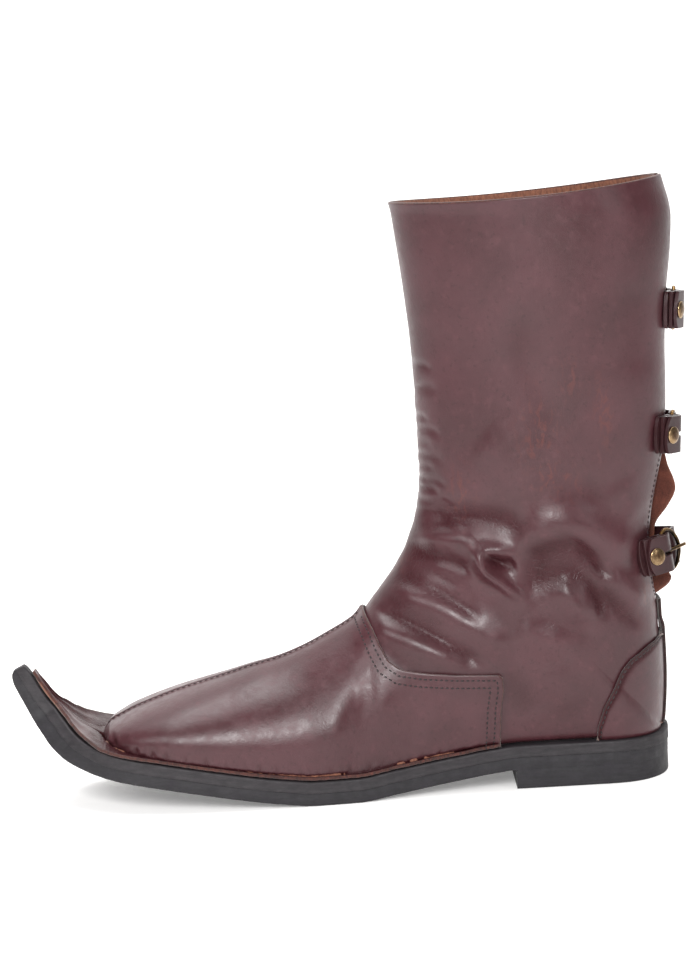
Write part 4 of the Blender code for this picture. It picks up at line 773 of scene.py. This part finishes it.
# soft dents: x, z, half width, half height, depth
dentRows = [(-114, 44, 5, 16, -1.0), (-104, 46, 6, 14, 0.6), (-90, 38, 4, 12, -0.9), (-80, 40, 5, 12, 0.6),
            (-128, 38, 7, 14, 0.5), (-66, 34, 5, 12, -0.5), (-150, 60, 14, 8, -0.5), (-212, 36, 8, 8, 0.5)]
dents = np.zeros(skin.shape[:2])
for x, level, width, tall, depth in dentRows:
    dents += depth * np.exp(-((flat[..., 0] - x - 0.15 * (flat[..., 2] - level)) / width) ** 2
                            - ((flat[..., 2] - level) / tall) ** 2)
fromTip = ramp(np.arange(len(skin))[:, None] - len(cover), 5, 26)
skin = skin + normal * ((seam + puckers + edgeWaves + dents * isWall) * fromTip * mm)[..., None]
# painted shade: darker at the bend to the curled point, along the centre seam, in the puckers' hollows and where
# the wall meets the turned-out edge; the point's cover is darkened all over and streaked lengthwise
atToe = np.exp(-((np.arange(len(skin))[:, None] - len(cover)) / 7.0) ** 2)
streaks = 0.45 + 0.35 * np.sin(signedShare * 46 + np.sin(flat[..., 0] * 0.22)) * (1 - isWall)
paintedShadeMap = np.clip(0.8 * atToe + (1 - isWall) * streaks + 0.9 * np.exp(-seamGap ** 2) * onTop
                    + 0.8 * np.clip(-puckers, 0, 1) + 0.9 * np.exp(-((above - 2.0) / 1.2) ** 2) * isWall, 0, 1)
scuffMap = np.clip(0.3 * ramp(2.6 - above, 0.0, 0.8) * isWall + 0.35 * ramp(-flat[..., 0], 236, 262), 0, 1)
vampPiece = makeShell("vamp_leather", skin, last["vamp"], [calf, fleshInside, rawEdge],
                      {"crease": paintedShadeMap, "scuff": scuffMap})
dress(vampPiece, "upper_leather", "vamp")
print("vamp ready")


# counter: stiffener cover round the heel, one half on each side of the backstay

counterLook = {"rows": 70, "columns": 44}
finePlaces = np.linspace(toeLast + 3.0, fanLast + 4.0, 500)
half = np.linspace(0.02, 1, 300)
counterX = heelRear - last["length"] * counterEdge[:, 0]
counterZ = last["instepRise"] * counterEdge[:, 1]
counterPieces = []
for side in (-1, 1):
    fine, _ = crossSections(finePlaces, half * side)
    flap = fine[..., 0] - np.interp(fine[..., 2], counterZ, counterX)
    flap = np.where(fine[..., 2] > counterZ[-1], -1, flap)
    good = flap[:, -1] > 0.0004
    firstIn = np.argmax(flap > 0, axis=1)
    every = np.arange(len(finePlaces))
    low, high = flap[every, firstIn - 1], flap[every, firstIn]
    edgeShare = half[firstIn - 1] + (half[1] - half[0]) * np.clip(-low / (high - low), 0, 1)
    rowsIn = np.flatnonzero(good)
    pick = np.linspace(finePlaces[rowsIn[0]], finePlaces[rowsIn[-1]], counterLook["rows"])
    begin = np.interp(pick, finePlaces[rowsIn], edgeShare[rowsIn])
    t = np.linspace(0, 1, counterLook["columns"])
    grid = np.zeros((len(pick), len(t), 3))
    for i, place in enumerate(pick):
        row, _ = crossSections(np.array([place]), (begin[i] + (1 - begin[i]) * t) * side)
        grid[i] = row[0]
    blendJoint(grid, pick, begin[:, None] + (1 - begin[:, None]) * t[None, :])
    if side < 0:
        grid = grid[:, ::-1]
        t = t[::-1]
    fromSeam = t[None, :] * (1 - begin[:, None]) * 0.12    # metres from the seam, near enough
    dent = -0.0004 * np.exp(-((fromSeam - 0.0014) / 0.0009) ** 2)
    grid = grid + normalsOf(grid) * (last["gap"] + last["clearance"] + last["counter"] + dent)[..., None]
    # painted shade: the crease attribute darkens the dent along the seam
    piece = makeShell("counter_outer" if side < 0 else "counter_inner", grid, last["counter"],
                      [calf, fleshInside, darkEdge],
                      {"crease": 0.9 * np.exp(-((fromSeam - 0.0010) / 0.0012) ** 2),
                       "scuff": np.zeros_like(fromSeam)})
    dress(piece, "upper_leather", "counter")
    counterPieces.append(piece)
print("counter ready")


# backstay: narrow strip over the back seam, its flared top standing off a little

backstayLook = {"rows": 90, "columns": 25, "topWidening": 0.35, "topGap": 0.0002, "counterTop": 0.078,
                "footGap": 0.0012}
topPlace = float(np.interp(last["slitStart"] + 0.002, form[fanLast:, 1], np.arange(fanLast, shaftLast + 1)))
places = np.linspace(fanLast + 0.02, topPlace, backstayLook["rows"])
arcs = np.linspace(0.5, -0.5, backstayLook["columns"]) * last["backstayWidth"]


def rearStrip(places, arcs, widths):
    # points of the upper at arc lengths from its rear centre line, each row widened by its own factor
    grid = np.zeros((len(places), len(arcs), 3))
    _, girths = crossSections(places, np.array([-1.0, 1.0]))
    for i, place in enumerate(places):
        arc = arcs * widths[i]
        side = np.where(arc < 0, -1.0, 1.0)
        row, _ = crossSections(np.array([place]), side * (1 - np.abs(arc) / girths[i]))
        grid[i] = row[0]
    return grid


upward = np.linspace(0, 1, backstayLook["rows"])
strip = rearStrip(places, arcs, 1 + backstayLook["topWidening"] * upward ** 3)
overCounter = ramp(backstayLook["counterTop"] - strip[:, backstayLook["columns"] // 2, 2], 0, 0.006)
lift = air + last["counter"] * overCounter + last["backstay"] + backstayLook["topGap"] * upward ** 6
strip = strip + normalsOf(strip) * lift[:, None, None]
foot = soleTop(np.minimum(strip[..., 0], heelRear)) + backstayLook["footGap"]
strip[..., 2] = np.maximum(strip[..., 2], foot)
backstayPiece = makeShell("backstay_leather", strip, last["backstay"], [strapHide, fleshInside, darkEdge])
dress(backstayPiece, "strap_leather", "backstay")


# gusset: suede behind the slit, puffing out where no strap holds it

gussetLook = {"rows": 210, "columns": 71, "depth": 0.0022, "hem": 0.0028, "narrow": 0.0062, "ripple": 0.0003,
              "pleat": 0.0016, "pleatWidth": 0.0018}
heights = form[fanLast:, 1]
rowsUp = np.arange(fanLast, shaftLast + 1)
first = np.interp(last["slitStart"] - last["gussetTuck"], heights, rowsUp)
final = np.interp(last["shaftHeight"] - last["gussetTuck"] / 2, heights, rowsUp)
places = first + (final - first) * np.linspace(0, 1, gussetLook["rows"]) ** 1.25
rise = (backHeights(places) - last["slitStart"]) / (last["shaftHeight"] - last["slitStart"])
half = slitHalf(places)
reach = half + last["gussetTuck"]
across = np.linspace(1, -1, gussetLook["columns"])
grid = rearStrip(places, across, reach)
sideways = np.abs(across)[None, :] * reach[:, None]
# free in the middle of the slit, sewn flat at its edges and where the slit is narrow
free = ramp((half[:, None] - gussetLook["hem"] - sideways) / (half[:, None] * 0.7 + 1e-6), 0, 1)
room = np.clip((half - gussetLook["narrow"]) / (last["slitWidth"] / 2 - 0.0070), 0, 1)[:, None]
swell = last["gussetBulge"] * smooth(bulgeRows[:, 0], bulgeRows[:, 1], rise)[:, None]
rest = last["wall"] + last["gap"] + gussetLook["depth"]
ripple = gussetLook["ripple"] * np.sin(rise[:, None] * 90 + sideways * 260)
pleat = -gussetLook["pleat"] * np.exp(-(sideways / gussetLook["pleatWidth"]) ** 2) \
    * ramp(rise, 0.36, 0.5)[:, None]
grid = grid + normalsOf(grid) * (free * room * (rest + swell + ripple) - rest + pleat)[..., None]
gussetPiece = makeShell("gusset_suede", grid, last["gusset"], [suede, suede, suede])
dress(gussetPiece, "gusset_suede", "gusset")
print("backstay and gusset ready")


# sole: layers carried along their own line, with softened corners

def sweepLayer(name, outer, inner, base, normal, low, high, corners, side, material):
    # A rounded rectangle across the shoe at each station of the base line: corners are the radii below and
    # above, side bulges or pinches the upright edge
    turns = np.linspace(0, np.pi / 2, 5)
    below, above = (np.broadcast_to(corner, low.shape)[:, None] for corner in corners)
    v = np.concatenate([low[:, None] + below * (1 - np.cos(turns)),
                        low[:, None] + (high - low)[:, None] * np.linspace(0.25, 0.75, 5),
                        high[:, None] - above * (1 - np.cos(turns))[::-1]], 1)
    inset = np.concatenate([below * (1 - np.sin(turns)), np.broadcast_to(-side, (len(low), 5)),
                            above * (1 - np.sin(turns))[::-1]], 1)
    right = inner[:, None] - np.minimum(inset, inner[:, None] * 0.9)
    left = -outer[:, None] + np.minimum(inset, outer[:, None] * 0.9)
    fill = np.linspace(0, 1, 9)[1:-1][None, :]
    bottom = left[:, :1] + (right[:, :1] - left[:, :1]) * fill
    topY = right[:, -1:] + (left[:, -1:] - right[:, -1:]) * fill
    y = np.concatenate([bottom, right, topY, left[:, ::-1]], 1)
    h = np.concatenate([np.repeat(v[:, :1], 7, 1), v, np.repeat(v[:, -1:], 7, 1), v[:, ::-1]], 1)
    points = np.stack([base[0][:, None] + normal[0][:, None] * h, y,
                       base[1][:, None] + normal[1][:, None] * h], 2)
    rings, count = points.shape[:2]
    faces = ringFaces(rings, count).tolist()
    faces.append(list(range(count - 1, -1, -1)))
    faces.append(list(range((rings - 1) * count, rings * count)))
    piece = makePiece(name, points.reshape(-1, 3), faces, [material])
    piece.data.set_sharp_from_angle(angle=np.radians(50))
    return piece


soleLook = {"stations": 260, "heelStations": 46, "wobble": 0.00012, "fineWobble": 0.00010, "wornCorner": 0.0011,
            "outsoleEdge": (0.0, 0.1, 0.15, 0.1, 0.0), "midsoleEdge": (0.0, -0.25, -0.05, -0.3, 0.0),
            "heelEdge": (0.0, 0.0, 0.05, 0.1, 0.1)}    # the edges in millimetres, from below to above
turn = np.linspace(0, np.pi / 2 * 0.985, soleLook["heelStations"])[1:]
body = np.linspace(soleX[0], heelRear - last["heelRound"], 900)
step = np.concatenate([[0], np.cumsum(np.hypot(np.diff(body), np.diff(smooth(soleX, soleZ, body))))])
body = np.interp(np.linspace(0, step[-1], soleLook["stations"]), step, body)
stations = np.concatenate([body, heelRear - last["heelRound"] + last["heelRound"] * np.sin(turn)])
z, nx, nz, thick = soleLine(stations)
fromEnd = np.clip(1 - (stations - soleX[0]) / last["toeEndRound"], 0, 1)
rounding = last["toeEndRound"] * (1 - np.sqrt(1 - fromEnd ** 2 * 0.98))
outer, inner = halfWidths(stations, 0.0005)
wobble = soleLook["wobble"] * np.sin(stations * 900) + soleLook["fineWobble"] * np.sin(stations * 2300 + 1.3)
breast = heelRear - last["heelLength"]
overHeel = soleLook["wornCorner"] * (1 - ramp(stations, breast - 0.004, breast + 0.001)) + 0.00005
outsole = sweepLayer("outsole_rubber", outer + wobble, inner + wobble, (stations, z), (nx, nz), rounding,
                     thick + 0.0001, (overHeel, 0.0002), np.array(soleLook["outsoleEdge"]) * mm, soleRubber)
dress(outsole, "sole", "outsole")
outer, inner = halfWidths(stations, 0.0)
midsole = sweepLayer("midsole_sheet", outer + wobble, inner + wobble, (stations, z), (nx, nz), thick + 0.00015,
                     thick + last["gap"] + last["midsole"] - rounding * 0.45, (0.0002, soleLook["wornCorner"]),
                     np.array(soleLook["midsoleEdge"]) * mm, midRubber)
dress(midsole, "midsole", "midsole")
stations = np.concatenate([np.linspace(breast, heelRear - last["heelRound"], 60),
                           heelRear - last["heelRound"] + (last["heelRound"] - 0.0005) * np.sin(turn)])
outer, inner = halfWidths(stations, 0.0006)
level = np.zeros(len(stations))
heelPiece = sweepLayer("heel_block", outer, inner, (stations, level), (level, level + 1), level,
                       soleLine(stations)[0] - 0.00002, (0.0009, 0.00005),
                       np.array(soleLook["heelEdge"]) * mm, soleRubber)
dress(heelPiece, "sole", "heel")
print("sole ready")


# straps and fittings: copies of their solids with softened edges

def softened(name, node, material, slotName, bevel, levels):
    # a solid's copy, its points merged, with rounded edges and a finer surface
    mesh = solids[node].data.copy()
    shape = bmesh.new()
    shape.from_mesh(mesh)
    bmesh.ops.remove_doubles(shape, verts=shape.verts, dist=2e-6)
    bmesh.ops.join_triangles(shape, faces=shape.faces, angle_face_threshold=np.radians(12),
                             angle_shape_threshold=np.radians(60))
    shape.to_mesh(mesh)
    shape.free()
    mesh.materials.clear()
    mesh.materials.append(material)
    mesh.shade_smooth()
    piece = bpy.data.objects.new(name, mesh)
    bpy.context.scene.collection.objects.link(piece)
    if bevel:
        edge = piece.modifiers.new("soft edge", "BEVEL")
        edge.width = bevel
        edge.segments = 3
        edge.limit_method = "ANGLE"
        edge.angle_limit = np.radians(38)
    if levels:
        finer = piece.modifiers.new("finer", "SUBSURF")
        finer.levels = finer.render_levels = levels
    return dress(piece, slotName, node)


for number in (1, 2, 3):
    softened(f"chape_leather_{number}", f"chape_{number}", strapHide, "strap_leather", 0.0004, 1)
    softened(f"billet_leather_{number}", f"billet_{number}", strapHide, "strap_leather", 0.0004, 1)
    softened(f"buckle_frame_{number}", f"buckle_{number}", antiqueBrass, "brass_fittings", 0, 2)
    softened(f"buckle_prong_{number}", f"prong_{number}", antiqueBrass, "brass_fittings", 0.0004, 1)
    softened(f"rivet_head_{number}", f"rivet_{number}", rivetBrass, "brass_fittings", 0.0003, 2)
    softened(f"far_rivet_head_{number}", f"far_rivet_{number}", rivetBrass, "brass_fittings", 0.0003, 2)
solids["insole"].data.materials.clear()
solids["insole"].data.materials.append(fleshInside)
print("straps ready")


# stitches: small threads laid on the leather

def treeOf(piece):
    # a search tree of the piece's surface
    points = [vert.co for vert in piece.data.vertices]
    return BVHTree.FromPolygons(points, [tuple(face.vertices) for face in piece.data.polygons])


def threadRow(spots, normals, pitch):
    # middles, directions and normals of stitches at even steps along a row of spots
    if len(spots) < 2:
        return [np.zeros((0, 3))] * 3
    spots, normals = np.array(spots), np.array(normals)
    run = np.concatenate([[0], np.cumsum(np.linalg.norm(np.diff(spots, axis=0), axis=1))])
    at = np.arange(pitch / 2, run[-1], pitch)

    def pick(values, shift=0.0):
        return np.stack([np.interp(at + shift, run, values[:, k]) for k in range(3)], 1)
    return pick(spots), pick(spots, pitch * 0.1) - pick(spots, -pitch * 0.1), pick(normals)


def castLine(tree, line, side, pitch):
    # a row along a side-view line in metres, cast onto a piece from one side
    run = np.concatenate([[0], np.cumsum(np.linalg.norm(np.diff(line, axis=0), axis=1))])
    at = np.arange(0, run[-1], pitch / 4)
    hits = [tree.ray_cast(Vector((x, side * 0.2, z)), Vector((0, -side, 0)))
            for x, z in np.stack([np.interp(at, run, line[:, k]) for k in range(2)], 1)]
    hits = [hit for hit in hits if hit[0] is not None and hit[0].y * side > 0]
    return threadRow([hit[0][:] for hit in hits], [hit[1][:] for hit in hits], pitch)


def restLine(tree, points, pitch):
    # a row along points that already lie close to a piece
    hits = [tree.find_nearest(Vector(point)) for point in points]
    return threadRow([hit[0][:] for hit in hits], [hit[1][:] for hit in hits], pitch)


def makeStitches(name, rows, thread, slotName):
    # each stitch is a half-sunk spindle of five rings of six points, thickest in its middle
    here = np.concatenate([row[0] for row in rows])
    way = np.concatenate([row[1] for row in rows])
    out = np.concatenate([row[2] for row in rows])
    way = way / np.maximum(np.linalg.norm(way, axis=1), 1e-12)[:, None]
    across = np.cross(way, out)
    across /= np.maximum(np.linalg.norm(across, axis=1), 1e-12)[:, None]
    out = np.cross(across, way)
    run = np.array([-1.0, -0.6, 0.0, 0.6, 1.0]) * thread["length"] / 2
    radius = np.array([0.15, 0.8, 1.0, 0.8, 0.15])
    angles = np.arange(6) * np.pi / 3
    stamp = np.stack([np.repeat(run, 6), np.outer(radius, np.cos(angles)).ravel() * thread["width"] / 2,
                      np.outer(radius, np.sin(angles)).ravel() * thread["height"] + 0.00002], 1)
    points = (here[:, None, :] + stamp[None, :, :1] * way[:, None, :] + stamp[None, :, 1:2] * across[:, None, :]
              + stamp[None, :, 2:3] * out[:, None, :])
    stitch = ringFaces(5, 6).tolist() + [[5, 4, 3, 2, 1, 0], [24, 25, 26, 27, 28, 29]]
    faces = [[v + 30 * k for v in face] for k in range(len(here)) for face in stitch]
    return dress(makePiece(name, points.reshape(-1, 3), faces, [darkThread]), slotName)


def offsetLine(line, distance):
    # the line moved sideways by a distance, with its corners kept
    way = np.diff(line, axis=0)
    way /= np.linalg.norm(way, axis=1)[:, None]
    side = np.stack([way[:, 1], -way[:, 0]], 1)
    mean = np.concatenate([side[:1], (side[:-1] + side[1:]) / 2, side[-1:]])
    size = np.maximum(np.sum(mean * np.concatenate([side[:1], side]), 1), 0.4)
    return line + mean / size[:, None] * distance


vampThread = {"pitch": 0.0026, "length": 0.0017, "width": 0.00085, "height": 0.0004, "insets": (0.0024, 0.0062),
              "top": 0.0905, "seamPitch": 0.0030}
counterThread = {"pitch": 0.0028, "length": 0.0020, "width": 0.0008, "height": 0.0004, "inset": 0.0014}
slitThread = {"pitch": 0.0026, "length": 0.0017, "width": 0.0007, "height": 0.0004, "inset": 0.0026,
              "top": 0.166}

vampTree, upperTree = treeOf(vampPiece), treeOf(upperPiece)
edgeLine = np.stack([heelRear - last["length"] * vampEdge[1:, 0], last["instepRise"] * vampEdge[1:, 1]], 1)
edgeLine = edgeLine[edgeLine[:, 1] < vampThread["top"]]
rows = [castLine(vampTree, offsetLine(edgeLine, inset), side, vampThread["pitch"])
        for side in (-1, 1) for inset in vampThread["insets"]]
seamLine = skin[len(cover) + 14:-3, flange + vampLook["columns"]] + np.array([0, -0.0030, 0.0004])
rows.append(restLine(vampTree, seamLine, vampThread["seamPitch"]))
makeStitches("vamp_stitches", rows, vampThread, "upper_leather")
seamSide = np.stack([counterX, counterZ], 1)[:-1]
rows = [castLine(treeOf(piece), offsetLine(seamSide, counterThread["inset"]), side, counterThread["pitch"])
        for side, piece in zip((-1, 1), counterPieces)]
makeStitches("counter_stitches", rows, counterThread, "upper_leather")
slitPlaces = np.linspace(topPlace + 0.1, float(np.interp(slitThread["top"], heights, rowsUp)), 90)
edges, _ = crossSections(slitPlaces, np.array([-1.0, 1.0]), slitHalf(slitPlaces) + slitThread["inset"])
rows = [restLine(upperTree, edges[:, k], slitThread["pitch"]) for k in (0, 1)]
makeStitches("slit_stitches", rows, slitThread, "upper_leather")
print("stitches ready")


# stage, light and camera

stageLook = {"floor": "#F4F3F2", "glow": 0.25, "world": "#FFFFFF", "worldStrength": 0.22, "halfWidth": 9.0,
             "bend": 0.8, "bendStart": 1.2}
turns = np.linspace(0, np.pi / 2, 16)[1:]
runOut = np.concatenate([np.linspace(-stageLook["halfWidth"], stageLook["bendStart"], 12),
                         stageLook["bendStart"] + stageLook["bend"] * np.sin(turns), [2.0]])
climb = np.concatenate([np.zeros(12), stageLook["bend"] * (1 - np.cos(turns)), [3.2]])
sides = np.linspace(-stageLook["halfWidth"], stageLook["halfWidth"], 5)
floorPoints = np.stack([np.repeat(sides[None, :], len(runOut), 0), np.repeat(runOut[:, None], 5, 1),
                        np.repeat(climb[:, None], 5, 1)], 2)
# Matt studio paper, lit a little from within so that it stays white where the lamps don't reach
paper, tree, made = startMaterial(
    "studio_paper", {"Roughness": 0.9, "Base Color": stageLook["floor"], "Specular IOR Level": 0.1,
                     "Emission Color": stageLook["floor"], "Emission Strength": stageLook["glow"]})
floor = makePiece("studio_floor", floorPoints.reshape(-1, 3), gridFaces(len(runOut), 5)[:, ::-1], [paper],
                  facing=False)

world = bpy.data.worlds.new("soft_box")
world.use_nodes = True
world.node_tree.nodes["Background"].inputs["Color"].default_value = linearColour(stageLook["world"])
world.node_tree.nodes["Background"].inputs["Strength"].default_value = stageLook["worldStrength"]
bpy.context.scene.world = world


def softLight(name, place, target, size, power):
    # a rectangular lamp that faces its target
    lamp = bpy.data.lights.new(name, "AREA")
    lamp.shape = "RECTANGLE"
    lamp.size, lamp.size_y = size
    lamp.energy = power
    item = bpy.data.objects.new(name, lamp)
    item.location = place
    item.rotation_euler = (Vector(target) - Vector(place)).to_track_quat("-Z", "Y").to_euler()
    bpy.context.scene.collection.objects.link(item)


softLight("key_left", (-1.15, -1.15, 1.15), (-0.12, 0, 0.10), (0.8, 0.8), 13)
softLight("front_strip", (-0.22, -1.75, 1.05), (-0.10, 0, 0.10), (0.22, 0.7), 29)
softLight("rim_right", (1.05, -1.05, 0.75), (-0.02, 0, 0.17), (0.30, 1.1), 4)
softLight("top", (-0.1, 0.25, 1.8), (-0.1, 0, 0.1), (1.4, 1.0), 30)
softLight("backdrop", (-0.1, 0.9, 1.9), (-0.1, 2.0, 0.6), (2.5, 0.6), 24)

shot = {"distance": 1.237, "height": 0.332, "aimHeight": 0.14954, "alongShoe": -0.1145, "roll": 3.2,
        "lens": 91.76}
camera = bpy.data.cameras.new("camera")
camera.lens = shot["lens"]
camera.sensor_width = 36.0
view = bpy.data.objects.new("camera", camera)
bpy.context.scene.collection.objects.link(view)
eye = Vector((shot["alongShoe"], -shot["distance"], shot["height"]))
forward = (Vector((shot["alongShoe"], 0, shot["aimHeight"])) - eye).normalized()
right = forward.cross(Vector((0, 0, 1))).normalized()
up = right.cross(forward)
roll = np.radians(shot["roll"])
turnedUp = up * np.cos(roll) + right * np.sin(roll)
turnedRight = right * np.cos(roll) - up * np.sin(roll)
view.matrix_world = Matrix(((turnedRight.x, turnedUp.x, -forward.x, eye.x),
                            (turnedRight.y, turnedUp.y, -forward.y, eye.y),
                            (turnedRight.z, turnedUp.z, -forward.z, eye.z), (0, 0, 0, 1)))
bpy.context.scene.camera = view
bpy.context.scene.view_settings.view_transform = "Standard"

print("scene ready")
